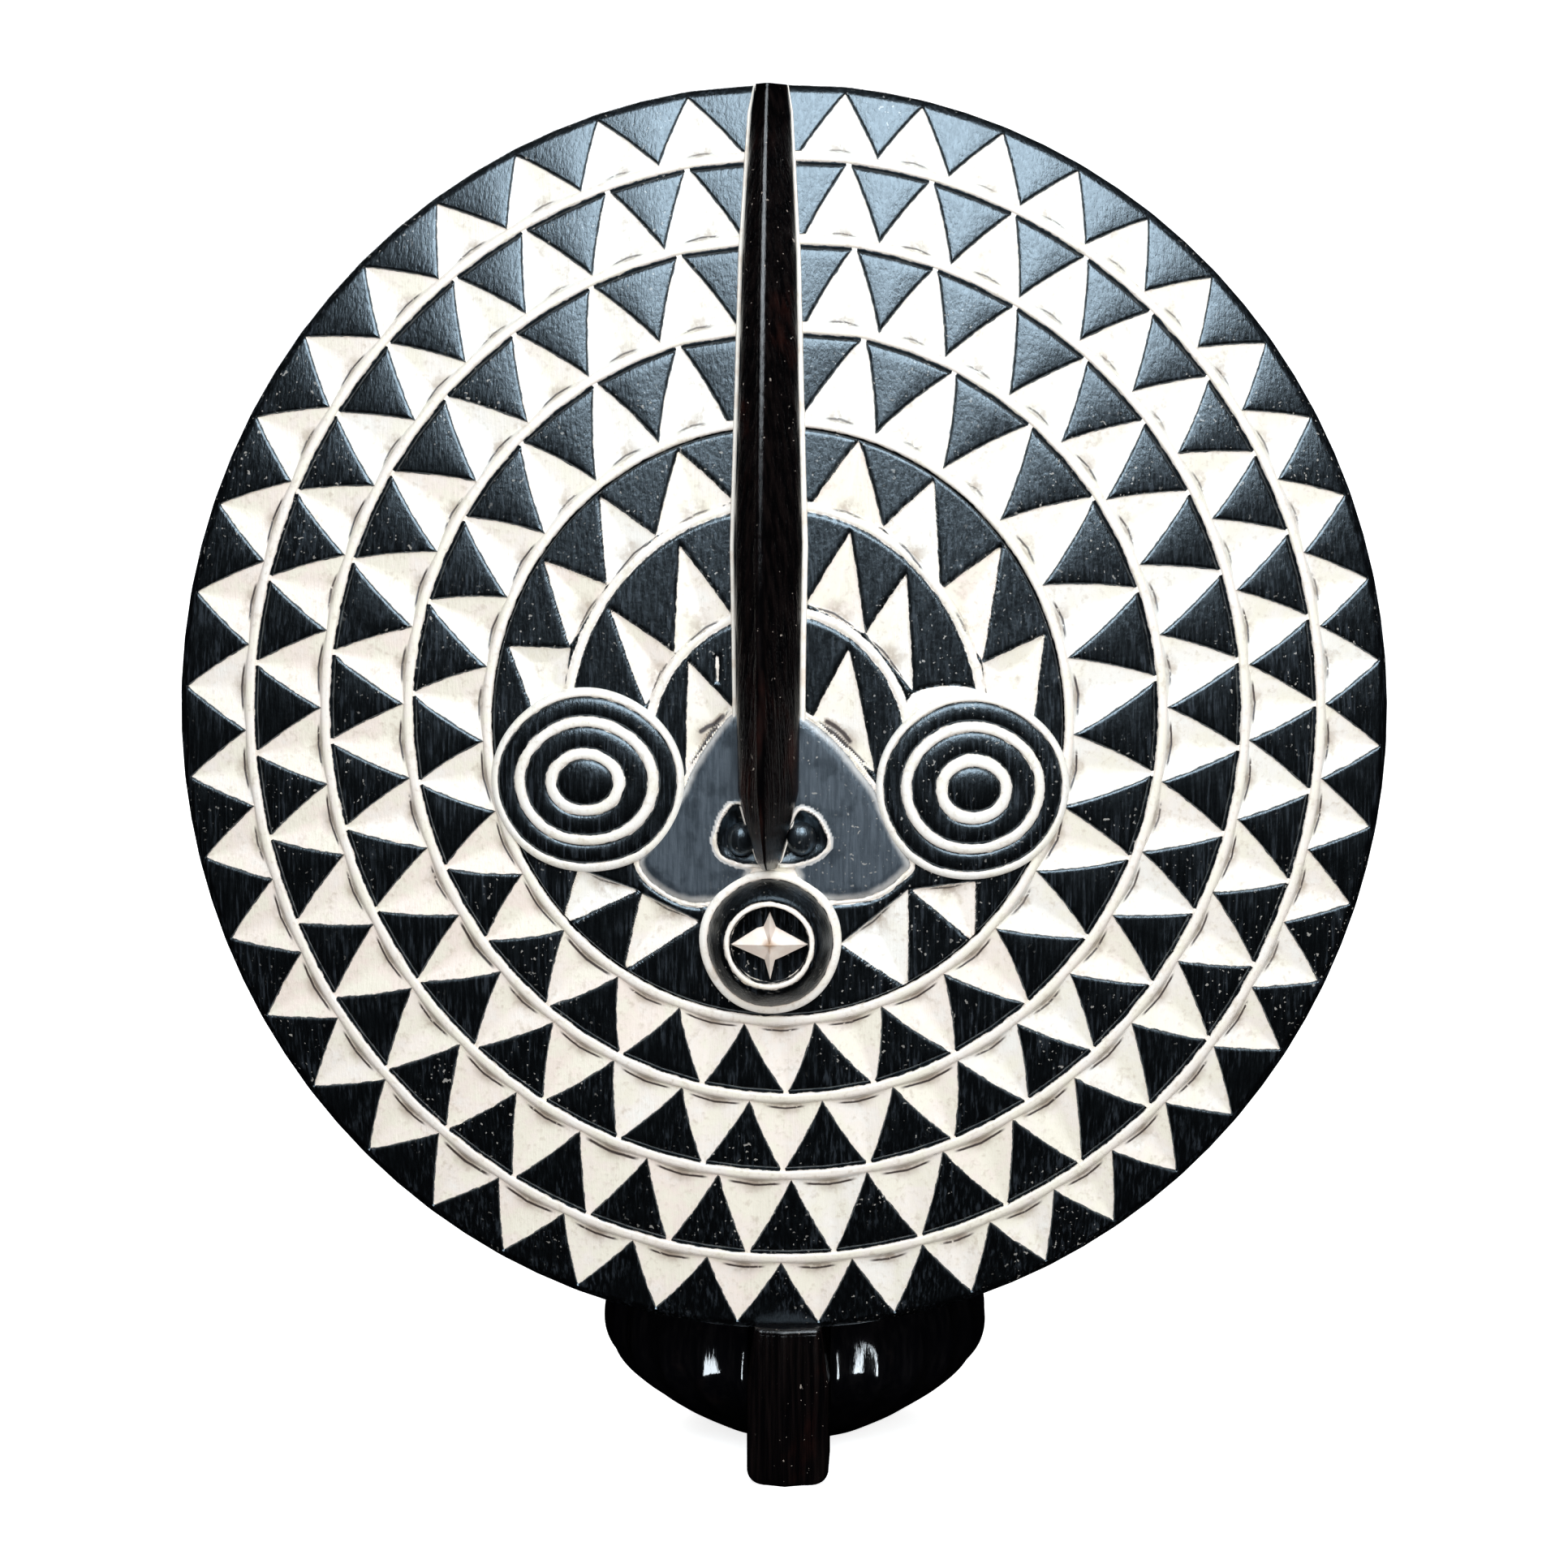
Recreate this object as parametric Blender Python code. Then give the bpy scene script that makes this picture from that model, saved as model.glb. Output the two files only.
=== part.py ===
"""A carved and painted wooden sun mask on its ribbed stand.

Metres, +Z up. The face looks along -Y and leans back a little. The mask is one
carving: a domed disc with its rings of chip carved teeth, two eyes, a long nose,
a round mouth, and a front leg below the rim. The stand is a ribbed wooden bowl
form, cut in front to take the leg and the rim.
"""

import math
from collections import namedtuple

import bmesh
import bpy
from mathutils import Matrix, Vector
from mathutils.geometry import delaunay_2d_cdt

# The disc
DISC_HALF_WIDTH = 0.2300
DISC_HALF_HEIGHT = 0.2375
DOME_RISE = 0.0400            # the middle of the front before its rim
EDGE_DEPTH = 0.0180           # thickness of the disc at its rim
WALL = 0.0160                 # wood behind the middle of the dome
RIM_ROUND = 0.0025
BACK_LAND = 0.0100            # flat border round the hollowed back
LEAN = math.radians(5.0)
RIM_CLEARANCE = 0.0600        # from the ground to the front of the rim

# Carved lines and chips
LINE_WIDTH = 0.0046
LINE_HEIGHT = 0.0010
GROOVE_DEPTH = 0.0007         # cut along the inner side of each line
CHIP_DEPTH = 0.0034
CHIP_WALL = 0.0036            # from a line to the deepest place of the chips on it
TIP_MARGIN = 0.0035           # from the outermost tips to the rim
LINE_STEP = 0.6               # between the points along a line, in teeth
LOOSE_SHARE = 0.25            # where a cheek or nose chip is deepest, from its base to its tip

# Places and sizes of the carving across the disc are shares of the disc's half width
# and half height, and stretch with it. Heights, depths and widths of cuts are in metres.

# A carved ring: its line, the angles in degrees clockwise from the top where the
# carver began a new run of teeth, and how many teeth each run has
Ring = namedtuple("Ring", "half_width half_height x z marks counts")
RIM = Ring(1.0, 1.0, 0.0, 0.0, (), ())
RINGS = (
    Ring(0.8817, 0.8804, 0.0048, 0.0034, (1.75, 89.0, 180.0, 267.9, 355.5), (11, 12, 11, 10)),
    Ring(0.7539, 0.7436, 0.0074, 0.0080, (2.5, 93.4, 178.8, 270.0, 354.5), (10, 9, 10, 9)),
    Ring(0.6152, 0.6101, 0.0096, 0.0029, (3.2, 88.9, 174.1, 271.2, 352.5), (8, 8, 9, 7)),
    Ring(0.4730, 0.4720, -0.0009, -0.0088, (4.5, 92.0, 186.2, 266.2, 350.0), (6, 7, 6, 6)),
)

# The two arcs over the brow: each tooth stands between two base angles on its
# own arc and points at a tip angle on the next line outwards
Arc = namedtuple("Arc", "half_width half_height x z start end bases tips")
UPPER_BROW = Arc(
    0.3391, 0.3520, -0.0048, -0.0181, -102.0, 100.0,
    ((-82.0, -69.6, -51.7, -33.5, -11.0), (10.0, 30.1, 52.2, 73.3, 86.0)),
    ((-74.7, -56.5, -39.3, -20.9), (16.6, 33.7, 52.8, 72.8)),
)
LOWER_BROW = Arc(
    0.2130, 0.2211, 0.0013, -0.0522, -80.0, 80.0,
    ((-72.4, -48.6, -20.2), (11.6, 38.2, 67.6)),
    ((-56.2, -29.3), (22.4, 42.8)),
)

# The muzzle, half of its bell outline from the nose down to under the mouth
MUZZLE_X = -0.0043
MUZZLE_OUTLINE = (
    (0.0652, 0.0084), (0.1065, -0.0358), (0.1391, -0.0779), (0.1609, -0.1137), (0.1935, -0.1726),
    (0.2261, -0.2274), (0.2087, -0.2547), (0.1739, -0.2779), (0.1348, -0.2905), (0.0696, -0.2947),
)
MUZZLE_RISE = 0.0026
MUZZLE_FOOT = 0.0004          # height where the line round the muzzle meets its slope
MUZZLE_SLOPE = 0.0046         # width of that slope

# Chips on the cheeks: two base corners, then the angle of the tip on ring four
CHEEK_TEETH = (
    ((-0.3235, -0.2413), (-0.2265, -0.2737), 228.1),
    ((-0.2200, -0.2787), (-0.1261, -0.3221), 211.9),
    ((0.2126, -0.2695), (0.1039, -0.3562), 153.3),
    ((0.3217, -0.2568), (0.2174, -0.2695), 137.3),
)
# The chips beside the nose: two corners on the muzzle line, then the tip's angle
# on the lower brow
SIDE_TEETH = (
    ((-0.1500, -0.0842), (-0.0783, 0.0211), -42.0),
    ((0.0674, 0.0126), (0.1674, -0.0863), 31.0),
)

# Eyes: a middle, and ovals of half width, half height and height over the eye's ground,
# which lie in turn along a ring's crown and in the groove beside it
EYES = (
    ((-0.3078, -0.1006), (
        (0.1587, 0.1444, 0.0000), (0.1539, 0.1347, 0.0016), (0.1491, 0.1234, 0.0008),
        (0.1348, 0.1116, 0.0022), (0.1209, 0.0998, 0.0012), (0.1104, 0.0897, 0.0026),
        (0.0996, 0.0796, 0.0016), (0.0826, 0.0653, 0.0029), (0.0670, 0.0522, 0.0020),
        (0.0565, 0.0429, 0.0032), (0.0457, 0.0328, 0.0024), (0.0261, 0.0189, 0.0039))),
    ((0.3157, -0.1074), (
        (0.1552, 0.1457, 0.0000), (0.1504, 0.1377, 0.0016), (0.1457, 0.1297, 0.0008),
        (0.1317, 0.1162, 0.0022), (0.1178, 0.1027, 0.0012), (0.1078, 0.0926, 0.0026),
        (0.0974, 0.0825, 0.0016), (0.0791, 0.0674, 0.0029), (0.0622, 0.0547, 0.0020),
        (0.0522, 0.0442, 0.0032), (0.0422, 0.0333, 0.0024), (0.0239, 0.0194, 0.0039))),
)
PUPIL_HEIGHT = 0.0044
EYE_RISE = 0.0012             # the eye's ground over the dome, clear of the lines that end under it

# Nose: stations from the rim down to the tip, as height on the disc, half width
# and how far the ridge stands over the dome
NOSE_TOP_X = -0.0174
NOSE_TIP_X = -0.0113
NOSE_STATIONS = (
    (0.9962, 0.0261, 0.0105), (0.7208, 0.0439, 0.0125), (0.5187, 0.0483, 0.0135),
    (0.2682, 0.0552, 0.0150), (0.1402, 0.0526, 0.0160), (0.0084, 0.0509, 0.0175),
    (-0.1137, 0.0487, 0.0190), (-0.1768, 0.0326, 0.0195), (-0.2232, 0.0183, 0.0185),
    (-0.2295, 0.0139, 0.0120),
)
# Across the nose, as shares of its half width and height; None is its root in the disc
NOSE_SECTION = (
    (-1.0, None), (-1.0, 0.60), (-0.82, 0.86), (-0.45, 0.97), (0.0, 1.0),
    (0.45, 0.97), (0.82, 0.86), (1.0, 0.60), (1.0, None),
)
NOSTRIL_OUT = 0.0543          # from the nose's middle line to a nostril
NOSTRIL_Z = -0.1853
NOSTRIL_HALF_WIDTH = 0.0078
NOSTRIL_HALF_HEIGHT = 0.0103
NOSTRIL_DEPTH = 0.0042
NOSTRIL_BALL = 0.0048
NOSTRIL_SIDES = 14
NOSTRIL_ROWS = 8

# Mouth: ovals as for the eyes, then the star in its recess
MOUTH_MIDDLE = (-0.0104, -0.3549)
MOUTH_OVALS = (
    (0.1187, 0.1166, 0.0000), (0.1113, 0.1103, 0.0030), (0.1000, 0.1011, 0.0036),
    (0.0948, 0.0960, 0.0062), (0.0826, 0.0825, 0.0122), (0.0726, 0.0695, 0.0140),
    (0.0652, 0.0623, 0.0148), (0.0591, 0.0564, 0.0140), (0.0574, 0.0547, 0.0080),
)
MOUTH_FLOOR = 0.0078
STAR_REACH_X = 0.0583
STAR_REACH_Z = 0.0560
STAR_CORNER_X = 0.0139
STAR_CORNER_Z = 0.0206
STAR_TIP_HEIGHT = 0.0100
STAR_PEAK_HEIGHT = 0.0125
STAR_SINK = 0.0020            # how deep the star is rooted in the floor of the mouth

# Front leg, carved in one with the disc
BASE_X = 0.0035               # the leg and the stand sit this far right of the disc
LEG_TOP_WIDTH = 0.0256
LEG_WIDTH = 0.0315
LEG_SHOULDER = 0.0220         # the leg reaches its full width this far down
LEG_PROUD = 0.0080            # in front of the rim
LEG_DEPTH = 0.0255            # back to the plane of the disc's back
LEG_OVER_RIM = 0.0025         # its ledge over the lowest point of the rim
LEG_FOOT_ROUND = 0.0060
LEG_FOOT_STEPS = 4
LEG_EDGE_ROUND = 0.0025
LEG_RIDGE = 0.0012            # the front swells this much along its middle

# Stand
STAND_BEHIND = 0.0830         # from the front of the rim to the stand's axis
STAND_PROFILE = (             # radius and height from the foot up
    (0.0320, 0.0000), (0.0360, 0.0020), (0.0470, 0.0080), (0.0595, 0.0165), (0.0692, 0.0250),
    (0.0752, 0.0325), (0.0776, 0.0410), (0.0768, 0.0510), (0.0735, 0.0620), (0.0680, 0.0730),
    (0.0590, 0.0825), (0.0460, 0.0880),
)
RIB_COUNT = 26                # the first one stands behind the leg
RIB_STEPS = 4                 # sides of the stand for each rib
RIB_DEPTH = 0.0026
RIB_END_SHARE = 0.6           # share of the full depth at the first and last of its rows
RIB_FIRST = 2                 # ribs fade in after this step of the profile
RIB_LAST = 10                 # and fade out after this one
FIT_GAP = 0.0003              # between the stand and the mask

RIM_SIDES = 88
BACK_OVALS = ((1.0, 88), (0.86, 64), (0.66, 48), (0.44, 32), (0.22, 16))   # share of the hollow, sides
OVAL_SIDES = 30
SINK = 0.0050                 # how deep a raised form is rooted in the disc
FOOT_STEP = 9.0               # degrees between the points along a line's inner foot
SOFT_ANGLE = 14.0             # edges flatter than this are shaded smooth

WOOD_BLACK = (0.012, 0.013, 0.016)
STAND_BLACK = (0.006, 0.006, 0.007)


def material(name, colour, roughness):
    made = bpy.data.materials.new(name)
    made.use_nodes = True
    shader = made.node_tree.nodes["Principled BSDF"]
    shader.inputs["Base Color"].default_value = (*colour, 1.0)
    shader.inputs["Roughness"].default_value = roughness
    return made


def new_object(name, verts, faces):
    """Mesh object of triangles turned outwards; a bent four sided face would upset the Booleans."""
    mesh = bpy.data.meshes.new(name)
    mesh.from_pydata([tuple(place) for place in verts], [], faces)
    work = bmesh.new()
    work.from_mesh(mesh)
    bmesh.ops.triangulate(work, faces=work.faces)
    bmesh.ops.recalc_face_normals(work, faces=work.faces)
    work.to_mesh(mesh)
    work.free()
    made = bpy.data.objects.new(name, mesh)
    bpy.context.collection.objects.link(made)
    return made


def smooth(made):
    made.data.shade_smooth()
    made.data.set_sharp_from_angle(angle=math.radians(SOFT_ANGLE))


def dome(x, z):
    """Height of the front over its rim."""
    share = (x / DISC_HALF_WIDTH) ** 2 + (z / DISC_HALF_HEIGHT) ** 2
    return DOME_RISE * (1.0 - min(share, 1.0))


def on_dome(x, z, height):
    """Place in the disc's own frame: X right, -Y out of the face, Z up."""
    return Vector((x, -(dome(x, z) + height), z))


def laid(across, up):
    """Shares of the disc's half width and half height as a place on it."""
    return Vector((across * DISC_HALF_WIDTH, up * DISC_HALF_HEIGHT))


def on_oval(line, degrees, widen=0.0):
    """Point on an oval at an angle clockwise from its top, widened all round by metres."""
    turn = math.radians(degrees)
    outwards = Vector((math.sin(turn), math.cos(turn)))
    return laid(line.x + line.half_width * outwards.x, line.z + line.half_height * outwards.y) + widen * outwards


def tooth_angles(ring):
    """Angles of the base corners, run by run, with the teeth touching."""
    corners = []
    for first, last, count in zip(ring.marks, ring.marks[1:], ring.counts):
        corners += [first + (last - first) * step / count for step in range(count)]
    corners.append(ring.marks[-1])
    return corners


def filled_angles(fixed, step, closed=True):
    """The fixed angles, with evenly spaced ones between them no further apart than step."""
    fixed = sorted(set(fixed))
    ends = fixed[1:] + [fixed[0] + 360.0] if closed else fixed[1:]
    angles = []
    for first, last in zip(fixed, ends):
        parts = max(1, math.ceil((last - first) / step))
        angles += [first + (last - first) * part / parts for part in range(parts)]
    if not closed:
        angles.append(fixed[-1])
    return angles


class Sheet:
    """Points across the disc, each with its height, joined by lines and filled with triangles."""

    def __init__(self):
        self.places = []
        self.heights = []
        self.joins = []

    def point(self, place, height):
        self.places.append(Vector(place))
        self.heights.append(height)
        return len(self.places) - 1

    def chain(self, places, height, closed=False, end_height=None):
        """A line through the places; an open one may come down to another height at its ends."""
        last = len(places) - 1
        made = []
        for index, place in enumerate(places):
            at_end = end_height is not None and index in (0, last)
            made.append(self.point(place, end_height if at_end else height))
        self.joins += list(zip(made, made[1:]))
        if closed:
            self.joins.append((made[-1], made[0]))
        return made

    def tooth(self, left, right, tip, deep, tip_height):
        """A three cornered chip: level at its corners and deepest near its base."""
        corners = [self.point(left, 0.0), self.point(right, 0.0), self.point(tip, tip_height)]
        bottom = self.point(deep, -CHIP_DEPTH)
        self.joins += [(corners[0], corners[2]), (corners[1], corners[2])]
        self.joins += [(bottom, corner) for corner in corners]

    def triangles(self):
        """Filled faces, with every place and the height that belongs to it."""
        places, _, faces, sources, _, _ = delaunay_2d_cdt(self.places, self.joins, [], 0, 1e-7)
        heights = [self.heights[source[0]] if source else 0.0 for source in sources]
        return places, heights, faces


def carve_ring(sheet, ring, tip_line, tip_widen, tip_height):
    """One ring: its raised line and the teeth that stand on it."""
    half = LINE_WIDTH / 2.0
    corners = tooth_angles(ring)
    pitch = max(last - first for first, last in zip(corners, corners[1:]))
    angles = filled_angles(corners, LINE_STEP * pitch)
    sheet.chain([on_oval(ring, turn, half) for turn in angles], 0.0, closed=True)
    sheet.chain([on_oval(ring, turn) for turn in angles], LINE_HEIGHT, closed=True)
    tips = []
    for first, last in zip(corners, corners[1:]):
        middle = (first + last) / 2.0
        tips.append(middle)
        sheet.tooth(on_oval(ring, first, half), on_oval(ring, last, half),
                    on_oval(tip_line, middle, tip_widen),
                    on_oval(ring, middle, half + CHIP_WALL), tip_height)
    return tips


def inner_foot(sheet, ring, tips):
    """The groove inside a line, with a point for each tip that reaches it."""
    angles = filled_angles([tip % 360.0 for tip in tips], FOOT_STEP)
    sheet.chain([on_oval(ring, turn, -LINE_WIDTH / 2.0) for turn in angles], -GROOVE_DEPTH, closed=True)


def carve_arc(sheet, arc, tips_on_it, tip_line):
    """A brow arc with its teeth; its ends run out level under the eyes."""
    half = LINE_WIDTH / 2.0
    corners = [turn for side in arc.bases for turn in side]
    ends = [arc.start, arc.end]
    outer = filled_angles(corners + ends, FOOT_STEP, closed=False)
    inner = filled_angles(list(tips_on_it) + ends, FOOT_STEP, closed=False)
    middle = [on_oval(arc, turn) for turn in outer]
    sheet.chain(middle, LINE_HEIGHT, end_height=0.0)
    sheet.chain([middle[0]] + [on_oval(arc, turn, half) for turn in outer[1:-1]] + [middle[-1]], 0.0)
    sheet.chain([middle[0]] + [on_oval(arc, turn, -half) for turn in inner[1:-1]] + [middle[-1]],
                -GROOVE_DEPTH, end_height=0.0)
    for bases, tips in zip(arc.bases, arc.tips):
        for first, last, tip in zip(bases, bases[1:], tips):
            sheet.tooth(on_oval(arc, first, half), on_oval(arc, last, half),
                        on_oval(tip_line, tip, -half),
                        on_oval(arc, (first + last) / 2.0, half + CHIP_WALL), -GROOVE_DEPTH)


def outset(outline, distance):
    """A closed outline moved outwards if it runs clockwise, and inwards if it runs the other way."""
    moved = []
    for index, place in enumerate(outline):
        before = outline[index - 1]
        after = outline[(index + 1) % len(outline)]
        along = (after - before).normalized()
        moved.append(place + distance * Vector((-along.y, along.x)))
    return moved


def carve_muzzle(sheet):
    """The raised bell between nose, eyes and mouth, with the line round it."""
    right = [laid(MUZZLE_X + x, z) for x, z in MUZZLE_OUTLINE]
    left = [laid(MUZZLE_X - x, z) for x, z in reversed(MUZZLE_OUTLINE)]
    outline = right + left
    half = LINE_WIDTH / 2.0
    sheet.chain(outset(outline, half), 0.0, closed=True)
    sheet.chain(outline, LINE_HEIGHT, closed=True)
    sheet.chain(outset(outline, -half), MUZZLE_FOOT, closed=True)
    sheet.chain(outset(outline, -half - MUZZLE_SLOPE), MUZZLE_RISE, closed=True)


def carve_loose_teeth(sheet, teeth, tip_line):
    """Chips that stand on the muzzle's edge."""
    for left, right, tip in teeth:
        corners = laid(*left), laid(*right)
        middle = (corners[0] + corners[1]) / 2.0
        point = on_oval(tip_line, tip, -LINE_WIDTH / 2.0)
        sheet.tooth(*corners, point, middle.lerp(point, LOOSE_SHARE), -GROOVE_DEPTH)


def front_sheet():
    sheet = Sheet()
    half = LINE_WIDTH / 2.0
    tips = carve_ring(sheet, RINGS[0], RIM, -TIP_MARGIN, 0.0)
    margin = filled_angles([tip % 360.0 for tip in tips], FOOT_STEP)
    sheet.chain([on_oval(RIM, turn, -TIP_MARGIN) for turn in margin], 0.0, closed=True)
    for outer, ring in zip(RINGS, RINGS[1:]):
        tips = carve_ring(sheet, ring, outer, -half, -GROOVE_DEPTH)
        inner_foot(sheet, outer, tips)
    innermost = RINGS[-1]
    brow_tips = [tip for side in UPPER_BROW.tips for tip in side]
    cheek_tips = [tooth[-1] for tooth in CHEEK_TEETH]
    inner_foot(sheet, innermost, brow_tips + cheek_tips)
    carve_arc(sheet, UPPER_BROW, [tip for side in LOWER_BROW.tips for tip in side], innermost)
    carve_arc(sheet, LOWER_BROW, [tooth[-1] for tooth in SIDE_TEETH], UPPER_BROW)
    carve_loose_teeth(sheet, CHEEK_TEETH, innermost)
    carve_loose_teeth(sheet, SIDE_TEETH, LOWER_BROW)
    carve_muzzle(sheet)
    return sheet


def back_height(share):
    """Height of the hollowed back at a share of its radius."""
    return -EDGE_DEPTH + (DOME_RISE - WALL + EDGE_DEPTH) * (1.0 - share ** 2)


def disc_body():
    """The disc: carved front, rounded rim and hollowed back, as one closed mesh."""
    turns = [360.0 * side / RIM_SIDES for side in range(RIM_SIDES)]
    verts = []
    faces = []

    front = front_sheet()
    front.chain([on_oval(RIM, turn, -RIM_ROUND) for turn in turns], 0.0, closed=True)
    places, heights, triangles = front.triangles()
    verts += [on_dome(place.x, place.y, height) for place, height in zip(places, heights)]
    faces += [tuple(triangle) for triangle in triangles]

    back = Sheet()
    back.chain([on_oval(RIM, turn, -RIM_ROUND) for turn in turns], -EDGE_DEPTH, closed=True)
    for share, sides in BACK_OVALS:
        steps = [360.0 * side / sides for side in range(sides)]
        back.chain([share * on_oval(RIM, turn, -BACK_LAND) for turn in steps], back_height(share), closed=True)
    back.point((0.0, 0.0), back_height(0.0))
    places, heights, triangles = back.triangles()
    first = len(verts)
    verts += [Vector((place.x, -height, place.y)) for place, height in zip(places, heights)]
    faces += [tuple(first + corner for corner in reversed(triangle)) for triangle in triangles]

    side_loops = []
    for depth in (RIM_ROUND, EDGE_DEPTH - RIM_ROUND):
        start = len(verts)
        for turn in turns:
            across, up = on_oval(RIM, turn)
            verts.append(Vector((across, depth, up)))
        side_loops.append(list(range(start, start + RIM_SIDES)))
    rim_edge = [on_oval(RIM, turn, -RIM_ROUND) for turn in turns]
    front_loop = nearest_loop(verts[:first], rim_edge, 0)
    back_loop = nearest_loop(verts[first:side_loops[0][0]], rim_edge, first)
    loops = [front_loop, *side_loops, back_loop]
    for outer, inner in zip(loops, loops[1:]):
        for side in range(RIM_SIDES):
            after = (side + 1) % RIM_SIDES
            faces.append((outer[side], outer[after], inner[after], inner[side]))
    return new_object("mask", verts, faces)


def nearest_loop(verts, places, offset):
    """Indexes of the points that lie at the given places across the disc."""
    loop = []
    for across, up in places:
        distances = [(vert.x - across) ** 2 + (vert.z - up) ** 2 for vert in verts]
        loop.append(offset + distances.index(min(distances)))
    return loop


def loft(name, loops, top=None, bottom=None):
    """A closed solid through loops of equal length, with a point or a flat face at each end."""
    sides = len(loops[0])
    verts = [place for loop in loops for place in loop]
    faces = []
    for row in range(len(loops) - 1):
        for side in range(sides):
            after = (side + 1) % sides
            low, high = row * sides, (row + 1) * sides
            faces.append((low + side, low + after, high + after, high + side))
    for place, start in ((bottom, 0), (top, (len(loops) - 1) * sides)):
        if place is None:
            faces.append(tuple(range(start, start + sides)))
        else:
            verts.append(place)
            faces += [(start + side, start + (side + 1) % sides, len(verts) - 1) for side in range(sides)]
    return new_object(name, verts, faces)


def oval_boss(name, middle, ovals, peak, rise=0.0):
    """Raised form of ovals on the dome, rooted in the disc."""
    rows = [(ovals[0][0], ovals[0][1], -SINK)]
    rows += [(half_width, half_height, rise + height) for half_width, half_height, height in ovals]
    loops = []
    for half_width, half_height, height in rows:
        oval = Ring(half_width, half_height, middle[0], middle[1], (), ())
        steps = [360.0 * side / OVAL_SIDES for side in range(OVAL_SIDES)]
        loops.append([on_dome(*on_oval(oval, turn), height) for turn in steps])
    return loft(name, loops, top=on_dome(*laid(*middle), rise + peak))


def nose_x(z):
    """The nose's middle line runs from the rim to the tip; both are shares."""
    share = (z - NOSE_STATIONS[-1][0]) / (NOSE_STATIONS[0][0] - NOSE_STATIONS[-1][0])
    return NOSE_TIP_X + (NOSE_TOP_X - NOSE_TIP_X) * share


def nose_bar():
    """The long nose: steep sides, rounded shoulders and a crown along its middle."""
    loops = []
    for z, half_width, height in NOSE_STATIONS:
        loop = []
        for across, up in NOSE_SECTION:
            place = laid(nose_x(z) + across * half_width, z)
            loop.append(on_dome(*place, -SINK if up is None else up * height))
        loops.append(loop)
    return loft("guide_nose", loops)


def ellipsoid(name, centre, half_sizes):
    work = bmesh.new()
    bmesh.ops.create_uvsphere(work, u_segments=NOSTRIL_SIDES, v_segments=NOSTRIL_ROWS, radius=1.0)
    bmesh.ops.scale(work, vec=half_sizes, verts=work.verts)
    bmesh.ops.translate(work, vec=centre, verts=work.verts)
    mesh = bpy.data.meshes.new(name)
    work.to_mesh(mesh)
    work.free()
    made = bpy.data.objects.new(name, mesh)
    bpy.context.collection.objects.link(made)
    return made


def star():
    """Four pointed star in the mouth: broad side arms, narrow upright arms."""
    outline = (
        (0.0, STAR_REACH_Z, STAR_TIP_HEIGHT), (STAR_CORNER_X, STAR_CORNER_Z, MOUTH_FLOOR),
        (STAR_REACH_X, 0.0, STAR_TIP_HEIGHT), (STAR_CORNER_X, -STAR_CORNER_Z, MOUTH_FLOOR),
        (0.0, -STAR_REACH_Z, STAR_TIP_HEIGHT), (-STAR_CORNER_X, -STAR_CORNER_Z, MOUTH_FLOOR),
        (-STAR_REACH_X, 0.0, STAR_TIP_HEIGHT), (-STAR_CORNER_X, STAR_CORNER_Z, MOUTH_FLOOR),
    )
    x, z = MOUTH_MIDDLE
    lower = [on_dome(*laid(x + across, z + up), MOUTH_FLOOR - STAR_SINK) for across, up, _ in outline]
    upper = [on_dome(*laid(x + across, z + up), height) for across, up, height in outline]
    return loft("guide_star", [lower, upper], top=on_dome(*laid(x, z), STAR_PEAK_HEIGHT))


def disc_matrix():
    """From the disc's own frame to the upright one, whose origin is on the ground under the rim."""
    centre_y = DISC_HALF_HEIGHT * math.sin(LEAN)
    centre_z = RIM_CLEARANCE + DISC_HALF_HEIGHT * math.cos(LEAN)
    return Matrix.Translation((0.0, centre_y, centre_z)) @ Matrix.Rotation(-LEAN, 4, "X")


def leg_outline():
    """Front view of the leg, from its top left corner down, across the foot and up again."""
    top = RIM_CLEARANCE + LEG_OVER_RIM
    half = LEG_WIDTH / 2.0
    right = []
    for step in range(LEG_FOOT_STEPS + 1):
        turn = 0.5 * math.pi * step / LEG_FOOT_STEPS
        right.append((half - LEG_FOOT_ROUND * (1.0 - math.sin(turn)), LEG_FOOT_ROUND * (1.0 - math.cos(turn))))
    right += [(half, top - LEG_SHOULDER), (LEG_TOP_WIDTH / 2.0, top)]
    left = [(-x, z) for x, z in reversed(right)]
    return [Vector((BASE_X + x, z)) for x, z in left + right]


def leg():
    """Front leg: a tapering tongue with a bevelled front and a swell over its middle."""
    outline = leg_outline()
    front = -LEG_PROUD
    rows = ((front + LEG_DEPTH, outline), (front + LEG_EDGE_ROUND, outline),
            (front, outset(outline, LEG_EDGE_ROUND)))
    loops = [[Vector((place.x, y, place.y)) for place in places] for y, places in rows]
    middle_z = (RIM_CLEARANCE + LEG_OVER_RIM) / 2.0
    made = loft("guide_leg", loops, top=Vector((BASE_X, front - LEG_RIDGE, middle_z)))
    made.data.transform(disc_matrix().inverted())
    return made


def join_to(body, made, operation):
    """Keep the shape as a hidden guide and let the body take it up."""
    made.hide_render = True
    made.display_type = "WIRE"
    made.hide_set(True)
    step = body.modifiers.new(made.name, "BOOLEAN")
    step.operation = operation
    step.solver = "EXACT"
    step.object = made
    made.parent = body


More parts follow.
